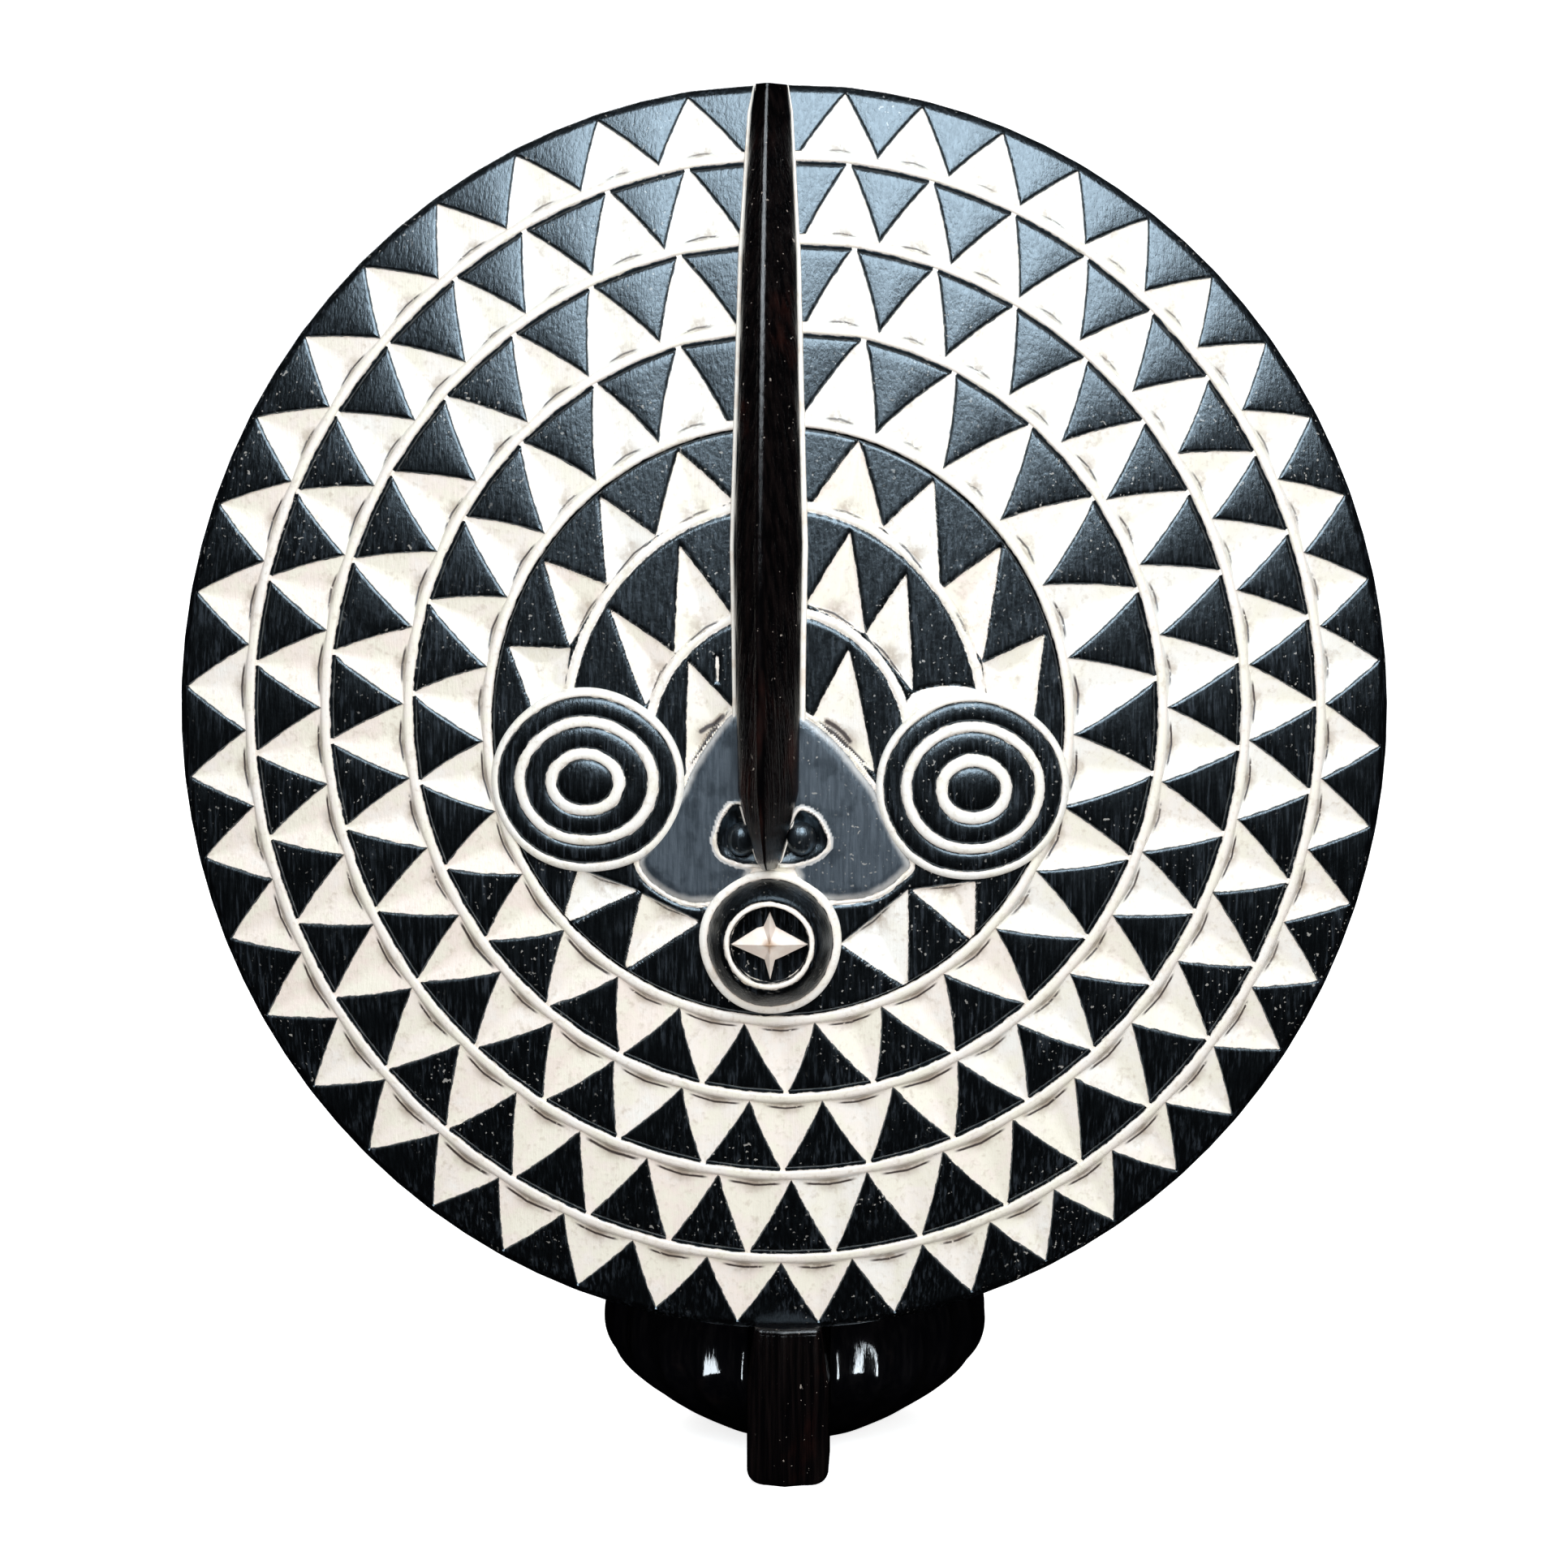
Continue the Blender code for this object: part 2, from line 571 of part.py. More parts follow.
def build_mask():
    body = disc_body()
    for name, (middle, ovals) in zip(("guide_left_eye", "guide_right_eye"), EYES):
        join_to(body, oval_boss(name, middle, ovals, PUPIL_HEIGHT, EYE_RISE), "UNION")
    join_to(body, nose_bar(), "UNION")
    for name, side in (("left", -1.0), ("right", 1.0)):
        across, up = laid(nose_x(NOSTRIL_Z) + side * NOSTRIL_OUT, NOSTRIL_Z)
        hollow = ellipsoid("guide_" + name + "_nostril", on_dome(across, up, MUZZLE_RISE),
                           (NOSTRIL_HALF_WIDTH, NOSTRIL_DEPTH, NOSTRIL_HALF_HEIGHT))
        join_to(body, hollow, "DIFFERENCE")
        ball_x = across - side * (NOSTRIL_HALF_WIDTH - NOSTRIL_BALL)
        ball = ellipsoid("guide_" + name + "_ball", on_dome(ball_x, up, 0.0), [NOSTRIL_BALL] * 3)
        join_to(body, ball, "UNION")
    join_to(body, oval_boss("guide_mouth", MOUTH_MIDDLE, MOUTH_OVALS, MOUTH_FLOOR), "UNION")
    join_to(body, star(), "UNION")
    join_to(body, leg(), "UNION")
    body.data.materials.append(material("painted wood", WOOD_BLACK, 0.45))
    smooth(body)
    body.matrix_world = disc_matrix()
    return body


def rib_share(row):
    """Ribs are full in the middle of the profile and fade at its ends."""
    if row < RIB_FIRST or row > RIB_LAST:
        return 0.0
    return 1.0 if RIB_FIRST < row < RIB_LAST else RIB_END_SHARE


def build_stand():
    """Ribbed bowl form, notched in front for the leg and rebated for the rim."""
    sides = RIB_COUNT * RIB_STEPS
    loops = []
    for row, (radius, z) in enumerate(STAND_PROFILE):
        loop = []
        for side in range(sides):
            turn = 2.0 * math.pi * side / sides
            groove = math.sin(math.pi * side / RIB_STEPS) ** 2
            reach = radius - RIB_DEPTH * rib_share(row) * groove
            loop.append(Vector((BASE_X + reach * math.sin(turn), STAND_BEHIND - reach * math.cos(turn), z)))
        loops.append(loop)
    body = loft("stand", loops)
    join_to(body, leg_notch(), "DIFFERENCE")
    join_to(body, rim_rebate(), "DIFFERENCE")
    body.data.materials.append(material("black lacquered wood", STAND_BLACK, 0.25))
    smooth(body)
    return body


def leg_notch():
    """Room for the leg and the gap round it, open to the front, top and bottom."""
    half = LEG_WIDTH / 2.0 + FIT_GAP
    back = LEG_DEPTH - LEG_PROUD + FIT_GAP
    front = -DISC_HALF_WIDTH
    low, high = -LEG_WIDTH, RIM_CLEARANCE + LEG_OVER_RIM + LEG_WIDTH
    corners = [(-half, front), (half, front), (half, back), (-half, back)]
    loops = [[Vector((BASE_X + x, y, z)) for x, y in corners] for z in (low, high)]
    return loft("guide_leg_notch", loops)


def rim_rebate():
    """Room for the disc's edge: its outline grown by the gap, from the front to its back."""
    turns = [360.0 * side / RIM_SIDES for side in range(RIM_SIDES)]
    loops = []
    for y in (-DISC_HALF_WIDTH, EDGE_DEPTH + FIT_GAP):
        loops.append([Vector((x, y, z)) for x, z in (on_oval(RIM, turn, FIT_GAP) for turn in turns)])
    made = loft("guide_rim_rebate", loops)
    made.data.transform(disc_matrix())
    return made


def centre_on_ground(root, bodies):
    """Move the whole work so that its box stands on the origin by the middle of its base."""
    bpy.context.view_layer.update()
    graph = bpy.context.evaluated_depsgraph_get()
    places = []
    for body in bodies:
        shown = body.evaluated_get(graph)
        places += [shown.matrix_world @ vert.co for vert in shown.data.vertices]
    low = [min(place[axis] for place in places) for axis in range(3)]
    high = [max(place[axis] for place in places) for axis in range(3)]
    root.location = (-(low[0] + high[0]) / 2.0, -(low[1] + high[1]) / 2.0, -low[2])


def main():
    for old in list(bpy.data.objects):
        bpy.data.objects.remove(old, do_unlink=True)
    root = bpy.data.objects.new("bwa_sun_mask", None)
    bpy.context.collection.objects.link(root)
    bodies = [build_mask(), build_stand()]
    for body in bodies:
        body.parent = root
    centre_on_ground(root, bodies)
    bpy.context.view_layer.update()


main()
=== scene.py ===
# Looks of the carved sun mask and its ribbed stand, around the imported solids.
# Sizes below are in millimetres on a disc 460 mm wide, and angles run clockwise from the top.
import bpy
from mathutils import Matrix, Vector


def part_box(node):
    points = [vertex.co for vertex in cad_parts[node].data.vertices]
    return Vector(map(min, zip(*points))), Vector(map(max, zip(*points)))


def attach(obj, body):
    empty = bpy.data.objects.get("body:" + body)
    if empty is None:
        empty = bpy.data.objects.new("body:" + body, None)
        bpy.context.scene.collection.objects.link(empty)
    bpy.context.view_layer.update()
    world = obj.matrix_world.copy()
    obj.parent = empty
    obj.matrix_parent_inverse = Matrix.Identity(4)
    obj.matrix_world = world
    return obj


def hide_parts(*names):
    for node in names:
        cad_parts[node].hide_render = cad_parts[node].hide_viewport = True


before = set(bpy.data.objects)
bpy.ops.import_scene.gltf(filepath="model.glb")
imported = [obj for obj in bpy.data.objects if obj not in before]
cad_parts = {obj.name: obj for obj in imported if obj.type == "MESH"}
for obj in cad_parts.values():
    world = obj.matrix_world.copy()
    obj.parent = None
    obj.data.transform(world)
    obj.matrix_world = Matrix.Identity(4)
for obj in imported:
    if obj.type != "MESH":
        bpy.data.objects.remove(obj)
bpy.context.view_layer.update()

import math
import bmesh
import bpy
from mathutils import Matrix, Vector
import numpy as np

rng = np.random.default_rng(17)

# the disc's own measures, and where its frame lies in the room
maskLow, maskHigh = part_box("mask")
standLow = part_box("stand")[0]
disc = {
    "halfWidth": 230.0,
    "halfHeight": 237.5,
    "rise": 40.0,        # the middle of the front before its rim
    "edge": 18.0,        # thickness at the rim
    "round": 2.5,        # rounding of the rim
    "wall": 16.0,        # wood behind the middle
    "land": 10.0,        # flat border round the hollow back
    "lean": math.radians(5.0),
    "lift": 60.0,        # from the ground to the front of the rim
}
mm = (maskHigh.x - maskLow.x) / 2.0 / disc["halfWidth"]
leanSin, leanCos = math.sin(disc["lean"]), math.cos(disc["lean"])
centreX = (maskLow.x + maskHigh.x) / 2.0
centreY = maskHigh.y - mm * ((disc["halfHeight"] - disc["round"]) * leanSin + disc["edge"] * leanCos)
centreZ = maskLow.z + mm * (disc["lift"] + disc["halfHeight"] * leanCos)
lowestY = centreY - mm * disc["halfHeight"] * leanSin      # where the rim's front is lowest


# From the disc's own frame (x right, y to the back, z up) to the room: turned back by the lean, then moved.
def toRoom(x, y, z):
    x, y, z = np.broadcast_arrays(x, y, z)
    return np.stack([centreX + mm * x,
                     centreY + mm * (y * leanCos + z * leanSin),
                     centreZ + mm * (z * leanCos - y * leanSin)], axis=-1)


# The front is a shallow dome: rise times one minus the squared share of the way to the rim.
def domeHeight(x, z):
    share = (x / disc["halfWidth"]) ** 2 + (z / disc["halfHeight"]) ** 2
    return disc["rise"] * (1.0 - np.minimum(share, 1.0))


# A place over the front: the dome's height there plus the height given, towards the viewer.
def onFront(x, z, height):
    return toRoom(x, -(domeHeight(x, z) + height), z)


# So many angles right round, beginning at the top.
def allRound(count):
    return np.arange(count) * 360.0 / count


# A point of an oval at an angle clockwise from its top, widened all round.
def onOval(oval, angles, widen=0.0):
    turn = np.radians(angles)
    return (oval["x"] + (oval["halfWidth"] + widen) * np.sin(turn),
            oval["z"] + (oval["halfHeight"] + widen) * np.cos(turn))


# A quarter round: the root of one minus the squared rest of the way, from zero at its foot to one on top.
def quarterRound(share):
    return np.sqrt(1.0 - (1.0 - np.clip(share, 0.0, 1.0)) ** 2)


# Two triangles for each cell of a grid; slant says which diagonal a cell is cut along.
def gridFaces(rows, columns, start=0, wrap=True, slant=None):
    across = columns if wrap else columns - 1
    row, column = np.meshgrid(np.arange(rows - 1), np.arange(across), indexing="ij")
    a = start + row * columns + column
    b = start + row * columns + (column + 1) % columns
    c, d = a + columns, b + columns
    if slant is None:
        slant = np.zeros(a.shape, bool)
    rising = np.stack([np.stack([a, b, d], -1), np.stack([a, d, c], -1)], -2)
    falling = np.stack([np.stack([a, b, c], -1), np.stack([b, d, c], -1)], -2)
    return np.where(slant[..., None, None], rising, falling).reshape(-1, 3)


# Triangles between two closed rings of points of different counts, taken in order of angle.
def zipFaces(startA, anglesA, startB, anglesB):
    orderA, orderB = np.argsort(anglesA % 360.0), np.argsort(anglesB % 360.0)
    both = np.concatenate([(anglesA % 360.0)[orderA], (anglesB % 360.0)[orderB]])
    isA = np.concatenate([np.ones(len(anglesA), bool), np.zeros(len(anglesB), bool)])[np.argsort(both, kind="stable")]
    atA, atB = np.cumsum(isA) - 1, np.cumsum(~isA) - 1
    ringA = startA + orderA[atA % len(anglesA)]
    ringB = startB + orderB[atB % len(anglesB)]
    beforeA = startA + orderA[(atA - 1) % len(anglesA)]
    beforeB = startB + orderB[(atB - 1) % len(anglesB)]
    return np.where(isA[:, None], np.stack([beforeA, ringA, ringB], -1), np.stack([ringA, ringB, beforeB], -1))


# A fan from a closed ring of points to one point.
def fanFaces(start, count, middle):
    ring = np.arange(count)
    return np.stack([start + ring, start + (ring + 1) % count, np.full(count, middle)], -1)


# A grid closed by a fan at each end, whose two middles follow the grid's own points.
def closedFaces(rows, columns, start=0):
    total = rows * columns
    return np.concatenate([gridFaces(rows, columns, start), fanFaces(start, columns, start + total),
                           fanFaces(start + total - columns, columns, start + total + 1)])


# A closed mesh with its faces turned outwards.
def closedMesh(name, places, faces):
    mesh = bpy.data.meshes.new(name)
    mesh.from_pydata(places, [], faces)
    work = bmesh.new()
    work.from_mesh(mesh)
    bmesh.ops.recalc_face_normals(work, faces=work.faces)
    work.to_mesh(mesh)
    work.free()
    return mesh


# A mesh, light or camera placed in the scene.
def addObject(name, data):
    made = bpy.data.objects.new(name, data)
    bpy.context.collection.objects.link(made)
    return made


usualSharp = 38.0      # degrees over which an edge isn't smoothed


# One closed mesh with its marks, smooth but for its sharp edges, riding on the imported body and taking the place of
# the node's plain solid.
def makePiece(name, places, faces, material, node, marks=None, sharp=usualSharp):
    mesh = closedMesh(name, places, faces)
    for mark, values in (marks or {}).items():
        layer = mesh.attributes.new(mark, "FLOAT", "POINT")
        layer.data.foreach_set("value", np.asarray(values, np.float32).ravel())
    mesh.shade_smooth()
    mesh.set_sharp_from_angle(angle=math.radians(sharp))
    mesh.materials.append(material)
    piece = addObject(name, mesh)
    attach(piece, "root")
    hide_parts(node)
    print(name, "has", len(mesh.polygons), "triangles")
    return piece


# Short ways to add and join nodes. A value is a number, a colour or another node's output.
class Nodes:
    def __init__(self, name):
        self.material = bpy.data.materials.new(name)
        self.material.use_nodes = True
        self.tree = self.material.node_tree
        self.shader = self.tree.nodes["Principled BSDF"]

    # i0, i1 and so on are inputs by number, other words are inputs by name
    def add(self, kind, output=0, settings=None, **values):
        made = self.tree.nodes.new(kind)
        for key, value in (settings or {}).items():
            setattr(made, key, value)
        for key, value in values.items():
            byNumber = key[0] == "i" and key[1:].isdigit()
            self.put(made.inputs[int(key[1:]) if byNumber else key.replace("_", " ")], value)
        return made.outputs[output]

    def put(self, socket, value):
        if isinstance(value, bpy.types.NodeSocket):
            self.tree.links.new(value, socket)
        elif isinstance(value, tuple) and len(value) == 3 and len(socket.default_value) == 4:
            socket.default_value = (*value, 1.0)
        else:
            socket.default_value = value

    def math(self, operation, first, second=0.0):
        return self.add("ShaderNodeMath", settings={"operation": operation}, i0=first, i1=second)

    def times(self, first, second):
        return self.math("MULTIPLY", first, second)

    def plus(self, first, second):
        return self.math("ADD", first, second)

    def mix(self, share, first, second):
        return self.add("ShaderNodeMix", 2, {"data_type": "RGBA"}, i0=share, i6=first, i7=second)

    def ramp(self, value, low, high, toLow=0.0, toHigh=1.0):
        return self.add("ShaderNodeMapRange", settings={"interpolation_type": "SMOOTHSTEP"},
                        i0=value, i1=low, i2=high, i3=toLow, i4=toHigh)

    def mark(self, name):
        return self.add("ShaderNodeAttribute", 2, {"attribute_name": name})

    # noise on the piece's own coordinates, in metres, each multiplied by its stretch
    def noise(self, scale, detail=3.0, rough=0.55, stretch=(1.0, 1.0, 1.0)):
        place = self.add("ShaderNodeMapping", Vector=self.add("ShaderNodeTexCoord", 3), Scale=stretch)
        return self.add("ShaderNodeTexNoise", Vector=place, Scale=scale, Detail=detail, Roughness=rough)

    def finish(self, colour, roughness, height=None, depth=0.0002, **uniform):
        self.put(self.shader.inputs["Base Color"], colour)
        self.put(self.shader.inputs["Roughness"], roughness)
        if height is not None:
            bump = self.add("ShaderNodeBump", Height=height, Distance=depth, Strength=1.0)
            self.put(self.shader.inputs["Normal"], bump)
        for key, value in uniform.items():
            self.put(self.shader.inputs[key.replace("_", " ")], value)
        return self.material


paintLook = {
    "ivory": (0.85, 0.82, 0.765),
    "pink": (0.84, 0.715, 0.63),
    "yellow": (0.83, 0.77, 0.645),
    "mottle": (0.55, 0.46, 0.36),
    "tan": (0.40, 0.31, 0.23),                 # painted shade in the chips' pits, at the teeth's bases
    # painted shade along the chips' creases, and the colour of the cracks beside the nose
    "creaseShadeAndCrack": (0.060, 0.036, 0.026),
    "black": (0.0011, 0.0012, 0.0015),
    # painted sheen streaks on the black
    "sheenStreak": (0.018, 0.022, 0.028),
    "slateAndSheen": (0.044, 0.056, 0.070),            # the grey field between the eyes
    "slateLight": (0.075, 0.092, 0.112),
    "slateDark": (0.020, 0.027, 0.035),
    "slateEdge": (0.62, 0.60, 0.58),
    "nick": (0.36, 0.34, 0.31),
    "gloss": 1.78,                             # refraction of the paint, and of the duller mouth
    "mouthGloss": 1.32,
}


# Ivory and black paint, parted where the mark "paint" changes sign. "crease" is the distance to the deepest
# line of a chip, "pit" the distance to its middle, "tone" and the shade-and-crack mark a number for each tooth,
# and the slate mark is one on the greyer field between the eyes, and a tenth on the nostril balls as a painted
# sheen. The crease's line is painted shade: dark, broken, and fading away from the pit, by which a tan painted
# shade lies as well; the same line draws the cracks beside the nose. Pale streaks on the black are a painted sheen.
def paintedWood(name, refraction):
    n = Nodes(name)
    paint, crease, pit = n.mark("paint"), n.mark("crease"), n.mark("pit")
    tone, shadeAndCrack, slateAndSheen = n.mark("tone"), n.mark("shadeAndCrack"), n.mark("slateAndSheen")
    ragged = n.noise(230.0, 3.0, 0.65)
    fine = n.noise(520.0, 2.0)
    blotch = n.noise(85.0, 3.0, 0.6)
    grain = n.noise(1.0, 3.0, 0.65, (900.0, 900.0, 65.0))
    patches = n.noise(17.0, 2.0)
    wobble = n.times(n.math("SUBTRACT", ragged, 0.5), 1.5)
    isWhite = n.ramp(n.plus(paint, wobble), -0.14, 0.20)

    warm = n.mix(n.ramp(blotch, 0.40, 0.60), paintLook["pink"], paintLook["yellow"])
    tint = n.ramp(n.plus(blotch, n.times(tone, 0.50)), 0.50, 0.98, 0.0, 0.95)
    white = n.mix(tint, paintLook["ivory"], warm)
    border = n.ramp(n.plus(paint, n.times(blotch, 2.2)), 2.6, 1.0, 0.0, 0.40)
    white = n.mix(border, white, paintLook["pink"])
    mottled = n.times(n.ramp(n.plus(fine, ragged), 1.02, 1.38), 0.55)
    white = n.mix(mottled, white, paintLook["mottle"])
    # Painted shade: tan in each chip's pit by its base, under its raised line, stronger where the tooth's shade mark
    # is.
    pitShadeShare = n.ramp(n.plus(ragged, n.times(shadeAndCrack, 0.26)), 0.42, 0.74)
    pitShadeShare = n.times(n.ramp(pit, 8.0, 1.0), pitShadeShare)
    white = n.mix(n.times(pitShadeShare, 0.80), white, paintLook["tan"])
    # Painted shade: a dark, broken line along each chip's crease, strongest near its pit; it also draws the cracks
    # beside the nose.
    toCrease = n.math("ABSOLUTE", n.plus(crease, n.plus(0.35, n.times(wobble, 0.35))))
    near = n.math("SUBTRACT", n.plus(3.0, n.times(shadeAndCrack, 9.0)), pit)
    broken = n.plus(fine, n.times(shadeAndCrack, 0.22))
    wide = n.ramp(shadeAndCrack, 0.9, 1.1, 0.62, 1.5)
    line = n.times(n.ramp(near, 0.0, 3.0), n.ramp(broken, 0.40, 0.54))
    line = n.times(n.ramp(n.math("DIVIDE", toCrease, wide), 1.0, 0.30), line)
    white = n.mix(n.times(line, n.ramp(shadeAndCrack, 0.1, 0.7, 0.60, 1.0)), white, paintLook["creaseShadeAndCrack"])

    # Painted sheen: pale bluish streaks along the grain on the black, standing in for highlights on its brush marks.
    sheenStreak = n.times(n.ramp(grain, 0.50, 0.66), n.ramp(blotch, 0.36, 0.62))
    black = n.mix(sheenStreak, paintLook["black"], paintLook["sheenStreak"])
    faded = n.ramp(n.plus(paint, n.times(blotch, 3.0)), -1.6, 1.5)
    slateColour = n.mix(n.ramp(grain, 0.35, 0.70, 0.0, 0.8), paintLook["slateAndSheen"], paintLook["slateLight"])
    slateColour = n.mix(n.ramp(blotch, 0.50, 0.34, 0.0, 0.7), slateColour, paintLook["slateDark"])
    slateColour = n.mix(n.times(faded, 0.9), slateColour, paintLook["slateEdge"])
    black = n.mix(slateAndSheen, black, slateColour)
    nicks = n.math("MAXIMUM", n.ramp(n.noise(640.0, 1.0, 0.5), 0.69, 0.72), n.ramp(grain, 0.755, 0.79))
    nicks = n.times(nicks, n.ramp(patches, 0.44, 0.60, 0.0, 0.8))
    black = n.mix(nicks, black, paintLook["nick"])

    colour = n.mix(isWhite, black, white)
    roughness = n.plus(n.ramp(grain, 0.32, 0.66, 0.28, 0.38), n.times(isWhite, 0.24))
    height = n.plus(n.times(grain, 0.5), n.times(fine, 0.3))
    return n.finish(colour, roughness, height, 0.00042, IOR=refraction, Specular_IOR_Level=1.0,
                    Specular_Tint=(0.74, 0.89, 1.0))


# Plain dark wood of the hollow back: growth drawn out along the grain, and fine fibres over it.
def backWood():
    n = Nodes("bare_back")
    growth = n.noise(1.0, 4.0, 0.6, (60.0, 60.0, 7.0))
    fibre = n.noise(1.0, 3.0, 0.6, (700.0, 700.0, 40.0))
    colour = n.mix(n.ramp(growth, 0.35, 0.68), (0.060, 0.034, 0.020), (0.026, 0.015, 0.010))
    colour = n.mix(n.ramp(fibre, 0.5, 0.75, 0.0, 0.5), colour, (0.085, 0.052, 0.032))
    return n.finish(colour, n.ramp(growth, 0.3, 0.7, 0.55, 0.7), n.plus(growth, fibre), 0.0003)


# The four raised lines from the rim inwards. "marks" are the angles where a line's quarters begin and end, and
# "counts" how many teeth stand on each quarter.
rings = (
    {"halfWidth": 202.8, "halfHeight": 209.1, "x": 1.1, "z": 0.8,
     "marks": (1.75, 89.0, 180.0, 267.9, 355.5), "counts": (11, 12, 11, 10)},
    {"halfWidth": 173.4, "halfHeight": 176.6, "x": 1.7, "z": 1.9,
     "marks": (2.5, 93.4, 178.8, 270.0, 354.5), "counts": (10, 9, 10, 9)},
    {"halfWidth": 141.5, "halfHeight": 144.9, "x": 2.2, "z": 0.7,
     "marks": (3.2, 88.9, 174.1, 271.2, 352.5), "counts": (8, 8, 9, 7)},
    {"halfWidth": 108.8, "halfHeight": 112.1, "x": -0.2, "z": -2.1,
     "marks": (4.5, 92.0, 186.2, 266.2, 350.0), "counts": (6, 7, 6, 6)},
)
rimOval = {"halfWidth": disc["halfWidth"], "halfHeight": disc["halfHeight"], "x": 0.0, "z": 0.0}
carving = {
    "line": 1.8,             # half the width of a raised line
    "lineHeight": 1.0,
    "depth": 3.1,            # deepest place of a chip
    "steep": 1.6,            # from the line to that place
    "proud": 1.15,           # black fields over the ground
    "shoulder": 1.7,         # width of their rounded shoulder
    "groove": 0.55,          # cut between a black field and the next line
    "border": 0.9,           # the disc's outermost front over the ground
    "tipMargin": 3.4,        # from the outermost tips to the rim
    "tip": 1.9,              # width of a tip where it meets the next line
    "point": 0.30,           # width of a black point between two teeth
    "wander": 0.55,          # how far corners and tips stray
    "outwards": 1.6,         # how much further out the painted crease shade lies on the low chips
    "lineTone": 0.62,        # a raised line is a little warmer than the chips
    "faceEdge": 2.45,        # from the last line to the face's own border
    "sunkEdge": 2.7,         # from the last line to the sunk middle under the face
    "sunkDepth": 4.4,
}
whiteShares = np.linspace(0.0, 1.0, 9)           # columns across a white chip
beadWiden = np.array([0.4, 1.0, 1.5, 1.8])       # half a raised line, from its crown to its foot
beadHeight = np.array([1.0, 0.9, 0.55, 0.0])
shoulderShares = np.array([0.14, 0.45, 1.0])     # columns on a black field's shoulder
crownRows = len(beadWiden) - 1


# The angles of a line's tooth corners: each quarter shared out evenly among its teeth.
def toothCorners(ring):
    quarters = zip(ring["marks"], ring["marks"][1:], ring["counts"])
    runs = [np.linspace(first, last, count, endpoint=False) for first, last, count in quarters]
    return np.append(np.concatenate(runs), ring["marks"][-1])


# One ring of teeth as a grid: a row goes right round, a column from the ring's own line out to the next.
# A chip is three planes, each falling away from its edge of the tooth; a black field is flat with a quarter
# round at its edges. Returns places, marks, faces and the angles of the first and last rows.
def toothBand(ring, outer, atRim):
    corners = toothCorners(ring)
    radius = (ring["halfWidth"] + ring["halfHeight"]) / 2.0
    outerRadius = (outer["halfWidth"] + outer["halfHeight"]) / 2.0
    stray = np.degrees(carving["wander"] / radius)
    corners[1:-1] += rng.uniform(-stray, stray, len(corners) - 2)
    left, right = corners[:-1], corners[1:]
    tips = (left + right) / 2.0 + rng.uniform(-1.6, 1.6, len(left)) * stray
    teeth = len(left)
    outerFoot = -carving["tipMargin"] if atRim else -carving["line"] - 1.0
    reach = outerRadius + outerFoot - radius - carving["line"]
    deepRow = 4                                                # the row through the chips' deepest places
    steps = np.concatenate([np.linspace(0.0, carving["steep"], deepRow + 1),
                            np.linspace(carving["steep"], reach - 1.5, 10)[1:], reach - np.array([0.85, 0.3, 0.0])])
    share = (steps / reach)[:, None, None]

    halfPoint = np.degrees(carving["point"] / 2.0 / radius)
    halfTip = np.degrees((0.5 if atRim else carving["tip"]) / 2.0 / outerRadius)
    leftEdge = (left + halfPoint)[:, None] * (1 - share) + (tips - halfTip)[:, None] * share
    rightEdge = (right - halfPoint)[:, None] * (1 - share) + (tips + halfTip)[:, None] * share
    nextEdge = np.concatenate([leftEdge[:, 1:], leftEdge[:, :1] + 360.0], axis=1)
    spread = np.radians(1.0) * (radius + carving["line"] + share * reach)
    blackWidth = (nextEdge - rightEdge) * spread
    shoulder = np.minimum(carving["shoulder"], blackWidth / 2.0)
    inBlack = np.concatenate([shoulder * shoulderShares, blackWidth / 2.0,
                              blackWidth - shoulder * shoulderShares[::-1]], axis=2)
    whiteAngles = leftEdge + (rightEdge - leftEdge) * whiteShares
    blackAngles = rightEdge + inBlack / spread
    angles = np.concatenate([whiteAngles, blackAngles], axis=2)
    rows, perTooth = len(steps), angles.shape[2]

    steps = steps[:, None, None]
    toLeft = (whiteAngles - leftEdge) * spread
    toRight = (rightEdge - whiteAngles) * spread
    halfAtPit = ((rightEdge - leftEdge) * spread / 2.0)[deepRow]
    ownDepth = carving["depth"] * (1.0 + rng.uniform(-0.12, 0.12, teeth))[:, None]
    fall = np.minimum(toLeft, toRight) / halfAtPit[None]
    base = np.broadcast_to(steps / carving["steep"], fall.shape)
    whiteHeight = -ownDepth * np.minimum(np.minimum(base, fall), 1.0)
    low = 0.5 - 0.5 * np.cos(np.radians(tips))
    # Low down the crease mark moves outwards, so that its painted shade line isn't hidden behind the raised line.
    whiteCrease = (base - fall) * carving["steep"] - carving["outwards"] * low[None, :, None]
    whitePaint = np.minimum(np.minimum(toLeft, toRight), 4.0)
    whitePaint = np.where(steps < 0.01, np.maximum(whitePaint, 0.15), whitePaint)
    middle = (leftEdge[deepRow] + rightEdge[deepRow]) / 2.0
    whitePit = np.hypot((whiteAngles - middle[None]) * spread, (steps - carving["steep"]) * 1.6)

    edge = np.minimum(inBlack, blackWidth - inBlack)
    outerEdge = np.maximum(reach - steps, 0.0) if not atRim else np.full_like(steps, 9.0)
    blackHeight = carving["proud"] * quarterRound(np.minimum(edge, outerEdge) / carving["shoulder"])
    blackPaint = -np.minimum(np.minimum(inBlack, blackWidth - inBlack), 4.0)

    far = np.full(blackHeight.shape, 9.0)
    height = np.concatenate([whiteHeight, blackHeight], axis=2)
    marks = {
        "paint": np.concatenate([whitePaint, blackPaint], axis=2),
        "crease": np.concatenate([whiteCrease, far], axis=2),
        "pit": np.concatenate([whitePit, far * 4.0], axis=2),
    }
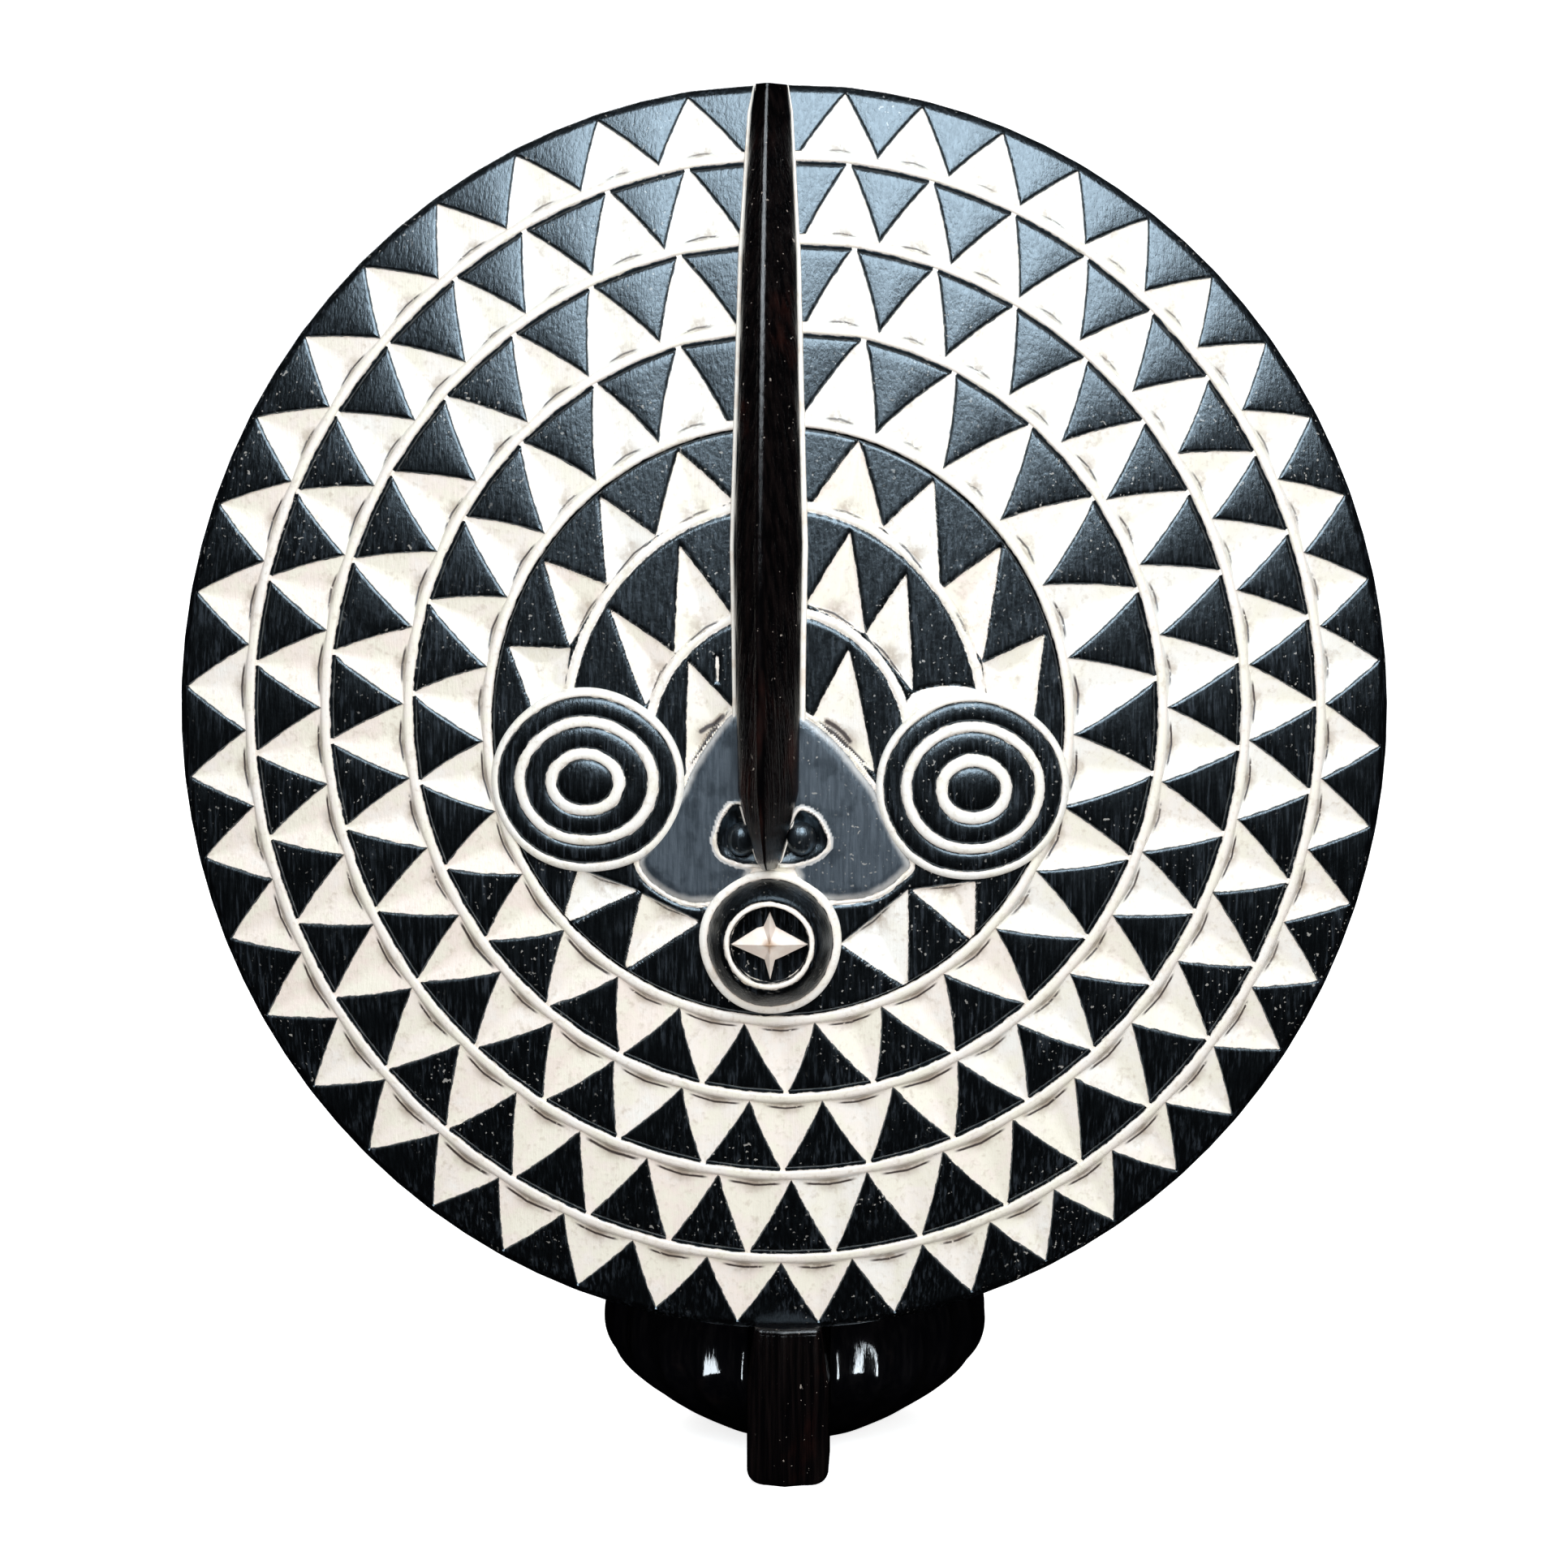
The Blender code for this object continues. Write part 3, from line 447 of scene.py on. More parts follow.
    # both are stronger low down and on the left: tone warms the whites there, and the second deepens the painted shade
    # in the chips' pits and along their creases
    onLeft = np.clip(-np.sin(np.radians(tips)), 0.0, 1.0)
    shading = {"tone": (0.45 * low + 0.35 * onLeft, 0.45), "shadeAndCrack": (0.12 + 0.42 * low + 0.12 * onLeft, 0.42)}
    for name, (least, extra) in shading.items():
        shades = least + rng.uniform(0.0, extra, (2, teeth))
        marks[name] = np.concatenate([np.broadcast_to(shades[0][None, :, None], whiteHeight.shape),
                                      np.broadcast_to(shades[1][None, :, None], blackHeight.shape)], axis=2)

    columns = teeth * perTooth
    angles = angles.reshape(rows, columns)
    height = height.reshape(rows, columns)
    marks = {name: values.reshape(rows, columns) for name, values in marks.items()}
    bandShare = share.reshape(rows, 1)
    innerX, innerZ = onOval(ring, angles, carving["line"])
    outerX, outerZ = onOval(outer, angles, outerFoot)
    x = innerX * (1 - bandShare) + outerX * bandShare
    z = innerZ * (1 - bandShare) + outerZ * bandShare

    # the ring's own line below, half of it; the groove and half of the next line above
    below = [onOval(ring, angles[0], widen) for widen in beadWiden[:-1]]
    column = np.tile(np.arange(perTooth), teeth)
    isWhite = column < len(whiteShares)
    lastPaint = marks["paint"][-1]
    if atRim:
        above = [onOval(outer, angles[-1], -disc["round"])]
        aboveHeight, abovePaint = [0 * lastPaint + carving["border"]], [0 * lastPaint - 1.0]
    else:
        widths = -np.concatenate([[carving["line"] + 0.5], beadWiden[::-1]])
        heights = np.concatenate([[0.0], beadHeight[::-1]])
        above = [onOval(outer, angles[-1], widen) for widen in widths]
        aboveHeight = [np.where(isWhite, max(value, 0.0), value) for value in heights]
        aboveHeight[0] = np.where(isWhite, 0.0, -carving["groove"])
        abovePaint = [np.where(isWhite, np.maximum(lastPaint, 0.3), -0.5)]
        abovePaint += [np.where(isWhite, np.maximum(lastPaint, 0.4), 0.0)]
        abovePaint += [0 * lastPaint + value for value in (carving["line"] - beadWiden[::-1][1:])]
    rowsX = np.concatenate([[p[0] for p in below], x, [p[0] for p in above]])
    rowsZ = np.concatenate([[p[1] for p in below], z, [p[1] for p in above]])
    rowsHeight = np.concatenate([np.repeat(beadHeight[:-1, None], columns, 1), height, aboveHeight])
    belowPaint = np.repeat((carving["line"] - beadWiden[:-1])[:, None], columns, 1)
    allMarks = {
        "paint": np.concatenate([belowPaint, marks["paint"], abovePaint]),
        "crease": np.concatenate([np.repeat(marks["crease"][:1] - 3.0, crownRows, 0), marks["crease"],
                                  np.full((len(above), columns), 9.0)]),
        "pit": np.concatenate([np.full((crownRows, columns), 12.0), marks["pit"],
                               np.full((len(above), columns), 30.0)]),
    }
    for name in ("tone", "shadeAndCrack"):
        allMarks[name] = np.concatenate([np.repeat(marks[name][:1], crownRows, 0), marks[name],
                                         np.repeat(marks[name][-1:], len(above), 0)])
    allMarks["tone"][:crownRows] = carving["lineTone"]
    allMarks["tone"][-crownRows:] = carving["lineTone"]
    allRows = len(rowsX)
    slant = np.broadcast_to(column < len(whiteShares) // 2, (allRows - 1, columns))
    return {"places": onFront(rowsX, rowsZ, rowsHeight), "marks": allMarks,
            "faces": gridFaces(allRows, columns, slant=slant), "rows": allRows, "columns": columns,
            "firstAngles": angles[0], "lastAngles": angles[-1]}


# The whole disc as one closed body: four bands of teeth zipped together along their lines, the sunk middle
# that the face covers, the rounded rim and the hollow back, whose faces take the second material.
def buildDisc(material, backMaterial):
    parts, faces, count = [], [], 0
    usual = {"paint": -4.0, "crease": 9.0, "pit": 40.0, "tone": 0.5, "shadeAndCrack": 0.0, "back": 0.0}
    marks = {name: [] for name in usual}

    def take(places, **values):
        nonlocal count
        start = count
        places = places.reshape(-1, 3)
        parts.append(places)
        count += len(places)
        for name in marks:
            value = values.get(name, usual[name])
            marks[name].append(np.broadcast_to(np.asarray(value, float).ravel(), (len(places),)))
        return start

    outers = (rimOval,) + rings[:-1]
    bands = [toothBand(ring, outer, index == 0) for index, (ring, outer) in enumerate(zip(rings, outers))]
    starts = []
    for band in bands:
        start = take(band["places"], **band["marks"])
        starts.append(start)
        faces.append(band["faces"] + start)
    for index in range(len(bands) - 1):
        outerBand, innerBand = bands[index], bands[index + 1]
        lastRow = starts[index + 1] + (innerBand["rows"] - 1) * innerBand["columns"]
        faces.append(zipFaces(starts[index], outerBand["firstAngles"], lastRow, innerBand["lastAngles"]))

    # inside the last line: its inner half, a drop, and a plain dome under the face
    inner, line = bands[-1], rings[-1]
    widths = -np.append(beadWiden, carving["sunkEdge"])
    heights = np.append(beadHeight, -3.0)
    angles = inner["firstAngles"]
    rowsX, rowsZ = onOval(line, angles[None, :], widths[:, None])
    start = take(onFront(rowsX, rowsZ, heights[:, None]),
                 paint=np.repeat(carving["line"] - np.abs(widths), len(angles)))
    faces.append(gridFaces(len(widths), len(angles), start))
    faces.append(zipFaces(starts[-1], angles, start, angles))
    shares = np.array([0.97, 0.66, 0.33])
    around = 96
    fewer = allRound(around)
    flatX, flatZ = onOval({**line, "x": 0.0, "z": 0.0}, fewer, -carving["sunkEdge"])
    flat = take(onFront(line["x"] + shares[:, None] * flatX, line["z"] + shares[:, None] * flatZ,
                        -carving["sunkDepth"]))
    faces.append(zipFaces(start + (len(widths) - 1) * len(angles), angles, flat, fewer))
    faces.append(gridFaces(len(shares), around, flat))
    middle = take(onFront(np.array([line["x"]]), np.array([line["z"]]), -carving["sunkDepth"]))
    faces.append(fanFaces(flat + (len(shares) - 1) * around, around, middle))

    # rim: a quarter round in front, the side, a quarter round behind
    outerBand = bands[0]
    angles = outerBand["lastAngles"]
    turns = np.radians([25.0, 50.0, 72.0, 90.0])
    widen = np.concatenate([-disc["round"] * (1 - np.sin(turns)), [0.0, 0.0],
                            -disc["round"] * (1 - np.sin(turns[::-1][1:])), [-disc["round"]]])
    border = carving["border"]
    depth = np.concatenate([(disc["round"] + border) * (1 - np.cos(turns)) - border, [7.0, 11.0],
                            disc["edge"] - disc["round"] * (1 - np.cos(turns[::-1][1:])), [disc["edge"]]])
    x, z = onOval(rimOval, angles[None, :], widen[:, None])
    rim = take(toRoom(x, np.repeat(depth[:, None], len(angles), 1), z),
               back=np.repeat(depth > 12.0, len(angles)) * 1.0)
    faces.append(gridFaces(len(widen), len(angles), rim))
    lastRow = starts[0] + (outerBand["rows"] - 1) * outerBand["columns"]
    faces.append(zipFaces(lastRow, angles, rim, angles))

    # the flat border behind, and the hollow back as a dome of its own
    around = 240
    fewer = allRound(around)
    shares = np.array([1.0, 0.985, 0.95, 0.9, 0.82, 0.72, 0.6, 0.46, 0.3, 0.14])
    landX, landZ = onOval(rimOval, fewer, -disc["land"])
    deep = disc["edge"] - (disc["rise"] - disc["wall"] + disc["edge"]) * (1.0 - shares ** 2)
    back = take(toRoom(shares[:, None] * landX, np.repeat(deep[:, None], around, 1), shares[:, None] * landZ), back=1.0)
    faces.append(zipFaces(rim + (len(widen) - 1) * len(angles), angles, back, fewer))
    faces.append(gridFaces(len(shares), around, back))
    middle = take(toRoom(np.array([0.0]), np.array([disc["wall"] - disc["rise"]]), np.array([0.0])), back=1.0)
    faces.append(fanFaces(back + (len(shares) - 1) * around, around, middle))
    marks = {name: np.concatenate(values) for name, values in marks.items()}
    faces = np.concatenate(faces)
    behind = marks.pop("back")[faces].min(axis=1) > 0.5
    piece = makePiece("carved_disc", np.concatenate(parts), faces, material, "mask", marks)
    piece.data.materials.append(backMaterial)
    piece.data.polygons.foreach_set("material_index", behind.astype(np.int32))
    return piece


# The face inside the fourth line. The two brow lines are parts of ovals, between two angles from the top.
brow = {"halfWidth": 77.7, "halfHeight": 83.6, "x": -1.1, "z": -4.3, "from": -103.0, "to": 101.0}
lowBrow = {"halfWidth": 49.0, "halfHeight": 52.5, "x": 0.3, "z": -12.4, "from": -84.0, "to": 84.0}
face = {
    "cells": 300,
    "browTeeth": (            # left base, right base, tip
        ((-45.5, 67.4), (-16.6, 80.5), (-37.3, 98.5)), ((-63.6, 49.0), (-45.5, 67.4), (-66.3, 81.5)),
        ((-77.6, 26.3), (-63.6, 49.0), (-86.9, 57.3)),
        ((12.4, 79.1), (38.9, 70.7), (29.7, 102.9)), ((38.9, 70.7), (60.1, 47.4), (57.5, 87.9)),
        ((60.1, 47.4), (75.9, 21.2), (82.6, 63.6)),
        ((-38.3, 23.9), (-17.2, 38.4), (-36.4, 63.6)), ((-48.9, 4.2), (-38.3, 23.9), (-62.1, 39.7)),
        ((10.8, 42.4), (32.5, 31.4), (26.6, 68.6)), ((32.5, 31.4), (50.4, 10.1), (47.4, 52.8)),
        ((-34.0, -21.1), (-16.5, 3.8), (-32.8, 20.0)), ((13.1, 0.0), (36.4, -20.7), (26.5, 25.7)),
        ((-52.1, -65.0), (-74.4, -57.3), (-80.6, -78.0)), ((-29.0, -76.5), (-50.6, -66.2), (-57.2, -95.0)),
        ((48.9, -64.0), (23.9, -84.6), (48.6, -101.0)), ((74.0, -61.0), (50.0, -64.0), (73.6, -83.5)),
    ),
    "corners": (              # chips cut off by the eyes: base along the brow line, then the tip and the other side
        ((-79.8, 9.3), (-77.4, 25.4), (-100.6, 26.0), (-91.7, 3.0)),
        ((76.2, 20.6), (77.6, 9.0), (95.3, 0.5), (99.1, 31.2)),
    ),
    "muzzle": (
        (-16.5, 3.8), (-24.6, -6.5), (-31.3, -16.8), (-35.5, -27.0), (-45.0, -41.5), (-53.5, -53.2), (-49.3, -61.2),
        (-39.9, -67.6), (-31.4, -70.5), (-20.0, -68.8), (0.0, -66.0), (20.5, -69.2), (33.8, -67.7), (41.4, -64.3),
        (46.8, -59.4), (51.6, -55.1), (44.0, -42.0), (37.6, -27.4), (32.7, -20.7), (24.6, -10.5), (13.1, 0.0),
        (-2.0, 8.0),
    ),
    "muzzleLine": 1.9,        # width of the white line round the muzzle
    "muzzleRise": 2.5,
    "bridge": ((-8.0, -54.8), (-1.0, -53.0), (6.0, -54.8), (9.0, -61.0), (-12.0, -61.0)),      # white, over the mouth
    "cracks": (               # two broken dark lines beside the nose, and how far they reach to each side
        ((-28.4, -5.2), (-26.2, -3.6), (-23.4, -2.4), (-20.2, 0.6)),
        ((18.4, -1.2), (21.4, -3.0), (24.6, -5.6), (27.0, -8.6)),
    ),
    "crackReach": 1.6,
    "nostrils": (
        ((-13.0, -31.8), (-16.8, -32.4), (-20.4, -37.4), (-22.7, -45.0), (-21.9, -49.0), (-20.3, -51.4), (-16.7, -53.2),
         (-12.0, -54.5), (-5.7, -54.8), (-3.0, -52.0)),
        ((8.0, -34.0), (11.3, -34.4), (15.3, -37.2), (18.9, -44.1), (18.8, -48.0), (14.4, -51.6), (8.9, -53.6),
         (2.9, -54.9), (-1.5, -53.0)),
    ),
    "nostrilLine": 1.3,
    "nostrilTop": -31.0,      # over it the nose covers the white line round a nostril
    "nostrilDepth": 4.0,
    "crescent": (             # white, over the right eye
        (45.5, 2.0), (48.3, 6.6), (49.9, 9.4), (53.4, 10.9), (57.9, 11.9), (65.4, 12.4), (72.9, 11.4), (78.5, 9.2),
        (86.0, 4.5), (88.0, -4.0), (72.0, 0.0), (56.0, -3.0),
    ),
    "tick": ((-22.3, 22.5), (-22.2, 14.0)),      # a short white scratch left of the nose
    "underside": 6.5,
}


# Distance to a path of straight lines: to the nearest place on each, then the least of them.
def nearPath(x, z, path):
    nearest = np.full(x.shape, 1e9)
    for (ax, az), (bx, bz) in zip(path, path[1:]):
        along = ((x - ax) * (bx - ax) + (z - az) * (bz - az)) / ((bx - ax) ** 2 + (bz - az) ** 2)
        along = np.clip(along, 0.0, 1.0)
        nearest = np.minimum(nearest, np.hypot(x - ax - along * (bx - ax), z - az - along * (bz - az)))
    return nearest


# Signed distance to a closed outline, over zero inside: the distance to its sides, and inside where a line to
# the right crosses them an odd number of times.
def insideOutline(x, z, outline):
    closed = np.concatenate([outline, outline[:1]])
    inside = np.zeros(x.shape, bool)
    for (ax, az), (bx, bz) in zip(closed, closed[1:]):
        crosses = (az > z) != (bz > z)
        inside ^= crosses & (x < (bx - ax) * (z - az) / (bz - az + 1e-12) + ax)
    nearest = nearPath(x, z, closed)
    return np.where(inside, nearest, -nearest)


# Distance outwards from an oval, and the angle clockwise from its top.
def fromOval(x, z, oval):
    u, v = (x - oval["x"]) / oval["halfWidth"], (z - oval["z"]) / oval["halfHeight"]
    radius = np.hypot(u, v) + 1e-9
    gradient = np.hypot(u / oval["halfWidth"], v / oval["halfHeight"]) / radius
    return (radius - 1.0) / np.maximum(gradient, 1e-6), np.degrees(np.arctan2(u, v))


# A smooth closed outline: each side cut in short steps and rounded by averaging neighbours.
def softened(outline, steps=6, passes=5):
    points = np.array(outline, float)
    following = np.roll(points, -1, 0)
    shares = np.arange(steps)[None, :, None] / steps
    points = (points[:, None] * (1 - shares) + following[:, None] * shares).reshape(-1, 2)
    for _ in range(passes):
        points = (np.roll(points, 1, 0) + 2 * points + np.roll(points, -1, 0)) / 4
    return points


# Heights and marks of the face. White fields are chips or raised lines; what is left is black, raised behind a
# rounded shoulder. Each field's own signed distance says where it lies.
def faceFields(x, z):
    paint = np.full(x.shape, -30.0)
    height = np.zeros(x.shape)
    crease = np.full(x.shape, 9.0)
    pit = np.full(x.shape, 40.0)
    tone = np.full(x.shape, 0.5)
    shadeAndCrack = np.zeros(x.shape)

    for (lx, lz), (rx, rz), (tx, tz) in face["browTeeth"]:
        corners = np.array([(lx, lz), (rx, rz), (tx, tz)])
        distances = []                       # to the three sides, over zero on the inner side
        for (ax, az), (bx, bz) in zip(corners, np.roll(corners, -1, 0)):
            length = math.hypot(bx - ax, bz - az)
            distances.append(((bx - ax) * (z - az) - (bz - az) * (x - ax)) / length)
        sign = 1.0 if (rx - lx) * (tz - lz) - (rz - lz) * (tx - lx) > 0 else -1.0
        toBase, toRight, toLeft = [sign * distance for distance in distances]
        bow = 0.6 * np.clip(toBase / 20.0, 0.0, 1.0) * np.clip(1.2 - toBase / 30.0, 0.0, 1.0)      # sides swell out
        toRight, toLeft = toRight + bow, toLeft + bow
        inside = np.minimum(np.minimum(toBase, toRight), toLeft)
        middle = (corners[0] + corners[1]) / 2.0
        width = math.hypot(rx - lx, rz - lz)
        side = 0.40 * width
        fall = np.minimum(toRight, toLeft) / side
        base = toBase / carving["steep"]
        depth = -min(carving["depth"], 0.16 * width + 0.8) * np.minimum(np.minimum(base, fall), 1.0)
        here = inside > 0
        height = np.where(here, depth, height)
        crease = np.where(here, (base - fall) * carving["steep"], crease)
        out = (corners[2] - middle) / np.linalg.norm(corners[2] - middle)
        px, pz = middle + out * carving["steep"]
        pit = np.where(here, np.hypot(x - px, z - pz), pit)
        tone = np.where(here, rng.random(), tone)
        besideNose = abs((lx + rx) / 2.0) < 26.0 and -25.0 < lz < 5.0      # the two with the darkest painted crease shade
        shadeAndCrack = np.where(here, 1.15 if besideNose else rng.uniform(0.2, 0.8), shadeAndCrack)
        paint = np.maximum(paint, np.where(toBase < 0, np.minimum(inside, toBase), inside))

    for path in face["cracks"]:
        near = nearPath(x, z, path)
        cracked = near < face["crackReach"]
        crease = np.where(cracked, near * 1.1 - 0.35, crease)
        pit = np.where(cracked, 3.2, pit)
        shadeAndCrack = np.where(cracked, 1.1, shadeAndCrack)

    for outline in face["corners"]:
        inside = insideOutline(x, z, outline)
        middle = np.mean(outline, axis=0)
        height = np.where(inside > 0, -np.minimum(inside * 0.45, 2.6), height)
        pit = np.where(inside > 0, np.hypot(x - middle[0], z - middle[1]) + 2.0, pit)
        paint = np.maximum(paint, inside)

    chips = paint > 0
    lines = np.full(x.shape, -30.0)
    for arc in (brow, lowBrow):
        out, turn = fromOval(x, z, arc)
        within = (turn > arc["from"]) & (turn < arc["to"])
        lines = np.maximum(lines, np.where(within, carving["line"] - np.abs(out), -30.0))
    muzzle = insideOutline(x, z, softened(face["muzzle"]))
    lines = np.maximum(lines, face["muzzleLine"] / 2.0 - np.abs(muzzle + 0.2))
    lines = np.maximum(lines, insideOutline(x, z, softened(face["crescent"], passes=3)))
    lines = np.maximum(lines, 0.55 - nearPath(x, z, face["tick"]))
    lines = np.maximum(lines, insideOutline(x, z, softened(face["bridge"], passes=3)))
    bead = carving["lineHeight"] * quarterRound(lines / 2.0)
    height = np.where(lines > 0, np.where(chips, np.maximum(height, bead), bead), height)
    paint = np.maximum(paint, lines)

    outer, _ = fromOval(x, z, rings[-1])
    toLine = -outer - carving["line"]
    proud = carving["proud"] + (face["muzzleRise"] - carving["proud"]) * np.clip(muzzle / 5.0, 0.0, 1.0)
    black = proud * quarterRound(np.minimum(-paint, np.maximum(toLine - 0.5, 0.0)) / carving["shoulder"])
    height = np.where(paint < 0, black, height)
    nearRim = np.clip(1.0 - toLine / 0.9, 0.0, 1.0)
    height = np.where(paint < 0, height - carving["groove"] * nearRim, height)

    for outline in face["nostrils"]:
        hole = insideOutline(x, z, softened(outline, passes=3))
        loop = face["nostrilLine"] / 2.0 - np.abs(hole + face["nostrilLine"] / 2.0)
        loop = np.where(z > face["nostrilTop"], -5.0, loop)
        height = np.where(loop > 0, face["muzzleRise"] + 0.5 * quarterRound(loop), height)
        paint = np.where(loop > -1.0, np.maximum(paint, loop), paint)
        sunk = face["nostrilDepth"] * np.sqrt(np.clip(hole / 6.0, 0.0, 1.0))
        height = np.where(hole > 0, face["muzzleRise"] - sunk, height)
        paint = np.where(hole > 0, -hole, paint)
    slateAndSheen = np.clip(muzzle / 1.5, 0.0, 1.0)
    for outline in face["nostrils"]:
        slateAndSheen = np.where(insideOutline(x, z, softened(outline, passes=3)) > -0.3, 0.0, slateAndSheen)
    return height, {"paint": np.clip(paint, -4.0, 4.0), "crease": crease, "pit": pit, "tone": tone, "shadeAndCrack": shadeAndCrack,
                    "slateAndSheen": slateAndSheen}


# The face is a square grid drawn onto an oval, each way by the root of one minus half the other's square, so its
# cells stay nearly square. A side goes down from its border into the disc, to a plain underside.
def buildFace(material):
    cells = face["cells"]
    u, v = np.meshgrid(np.linspace(-1, 1, cells + 1), np.linspace(-1, 1, cells + 1))
    line = rings[-1]
    x = line["x"] + (line["halfWidth"] - carving["faceEdge"]) * u * np.sqrt(1.0 - v ** 2 / 2.0)
    z = line["z"] + (line["halfHeight"] - carving["faceEdge"]) * v * np.sqrt(1.0 - u ** 2 / 2.0)
    height, marks = faceFields(x, z)
    n = cells + 1
    places = onFront(x, z, height).reshape(-1, 3)
    faces = [gridFaces(n, n, wrap=False, slant=(u * v)[:-1, :-1] < 0)]
    index = np.arange(n * n).reshape(n, n)
    border = np.concatenate([index[0, :-1], index[:-1, -1], index[-1, :0:-1], index[:0:-1, 0]])
    under = onFront(x.ravel()[border], z.ravel()[border], -face["underside"])
    count = len(border)
    first = n * n
    following = np.roll(np.arange(count), -1)
    faces.append(np.stack([border, border[following], first + following], -1))
    faces.append(np.stack([border, first + following, first + np.arange(count)], -1))
    faces.append(fanFaces(first, count, first + count))
    middle = onFront(np.array([line["x"]]), np.array([line["z"]]), -face["underside"])
    marks = {name: values.ravel()[np.concatenate([np.arange(n * n), border, [0]])] for name, values in marks.items()}
    return makePiece("carved_face", np.concatenate([places, under, middle]), np.concatenate(faces), material, "mask",
                     marks)


# Eyes and mouth. "edges" are half widths and half heights between the rings, from the foot to the middle, and
# "drift" is how far the middle lies off.
eyes = {
    "left_eye": {
        "x": -70.8, "z": -23.9, "drift": (-1.2, -0.6),
        "edges": ((36.4, 34.6), (33.7, 31.2), (27.2, 24.2), (23.1, 20.3), (15.0, 12.7), (10.6, 8.7), (0.0, 0.0)),
    },
    "right_eye": {
        "x": 72.6, "z": -25.5, "drift": (0.8, -1.0),
        "edges": ((35.9, 34.9), (33.2, 31.8), (26.8, 24.8), (22.9, 20.9), (14.2, 13.2), (10.0, 8.4), (0.0, 0.0)),
    },
}
eyeRings = {
    "ground": 1.2,
    "edgeHeight": (0.0, 0.9, 1.3, 1.7, 2.1, 2.5, 4.4),
    "crown": (1.15, 1.15, 1.15, 1.0, 1.0, 1.2),     # each ring over the line between its edges
    "white": (True, False, True, False, True, False),
}
mouth = {
    "x": -2.4, "z": -84.0, "drift": (0.0, 0.0), "ground": 0.0,
    "edges": ((26.6, 27.2), (23.4, 24.2), (16.9, 16.7), (14.9, 14.7), (14.4, 14.2), (0.0, 0.0)),
    "edgeHeight": (1.9, 2.9, 13.2, 13.6, 7.6, 7.2),
    "crown": (0.9, 3.0, 0.9, 0.0, 0.0),
    "white": (True, False, True, False, False),
}
bossFoot = -4.0      # a boss begins this far inside the disc


# A round boss: rings from the outer foot to the middle, each swelling over the line between its two edges by its
# crown times the root of one minus the squared way from its middle.
def ringedBoss(name, boss, material, columns=150, rows=9):
    edges, edgeHeight, crown, drift = boss["edges"], boss["edgeHeight"], boss["crown"], boss["drift"]
    turn = np.linspace(0.0, 2 * np.pi, columns, endpoint=False)
    steps = 0.5 - 0.5 * np.cos(np.linspace(0.0, np.pi, rows))
    halfWidths, halfHeights, heights, paints = [edges[0][0]], [edges[0][1]], [bossFoot], [0.5]
    for index, isWhite in enumerate(boss["white"]):
        (outW, outH), (inW, inH) = edges[index], edges[index + 1]
        swell = crown[index] * np.sqrt(np.clip(1.0 - (2 * steps - 1) ** 2, 0.0, 1.0))
        if inW == 0:
            swell = 0.0 * steps      # a middle field rises by its edge heights alone
        halfWidths.extend(outW + (inW - outW) * steps)
        halfHeights.extend(outH + (inH - outH) * steps)
        rise = steps if inW else quarterRound(steps)
        heights.extend(edgeHeight[index] + (edgeHeight[index + 1] - edgeHeight[index]) * rise + swell)
        wide = (outW - inW + outH - inH) / 2.0
        toEdge = np.minimum(steps, 1.0 - steps if inW else 9.0) * wide
        if index == 0:
            toEdge = (1.0 - steps) * wide + 0.01
        paints.extend(toEdge if isWhite else -toEdge)
    lists = (halfWidths, halfHeights, heights, paints)
    halfWidths, halfHeights, heights, paints = [np.array(values)[:-1, None] for values in lists]
    wander = 1.0 + 0.006 * np.sin(3 * turn + len(name)) + 0.005 * np.sin(5 * turn + 2.0)      # cut by hand
    inwards = 1.0 - halfWidths / edges[0][0]
    x = boss["x"] + drift[0] * inwards + halfWidths * np.sin(turn) * wander
    z = boss["z"] + drift[1] * inwards + halfHeights * np.cos(turn) * wander
    places = onFront(x, z, np.where(heights < -1.0, heights, heights + boss["ground"]))
    ends = onFront(np.array([boss["x"], x[-1].mean()]), np.array([boss["z"], z[-1].mean()]),
                   np.array([bossFoot, edgeHeight[-1] + boss["ground"]]))
    paint = np.concatenate([np.repeat(paints.ravel(), columns), [0.5, paints[-1, 0]]])
    marks = {"paint": np.clip(paint, -4, 4), "crease": np.full(len(paint), 9.0), "pit": np.full(len(paint), 40.0),
             "tone": np.full(len(paint), 0.3)}
    return makePiece(name, np.concatenate([places.reshape(-1, 3), ends]), closedFaces(len(x), columns), material,
                     "mask", marks)


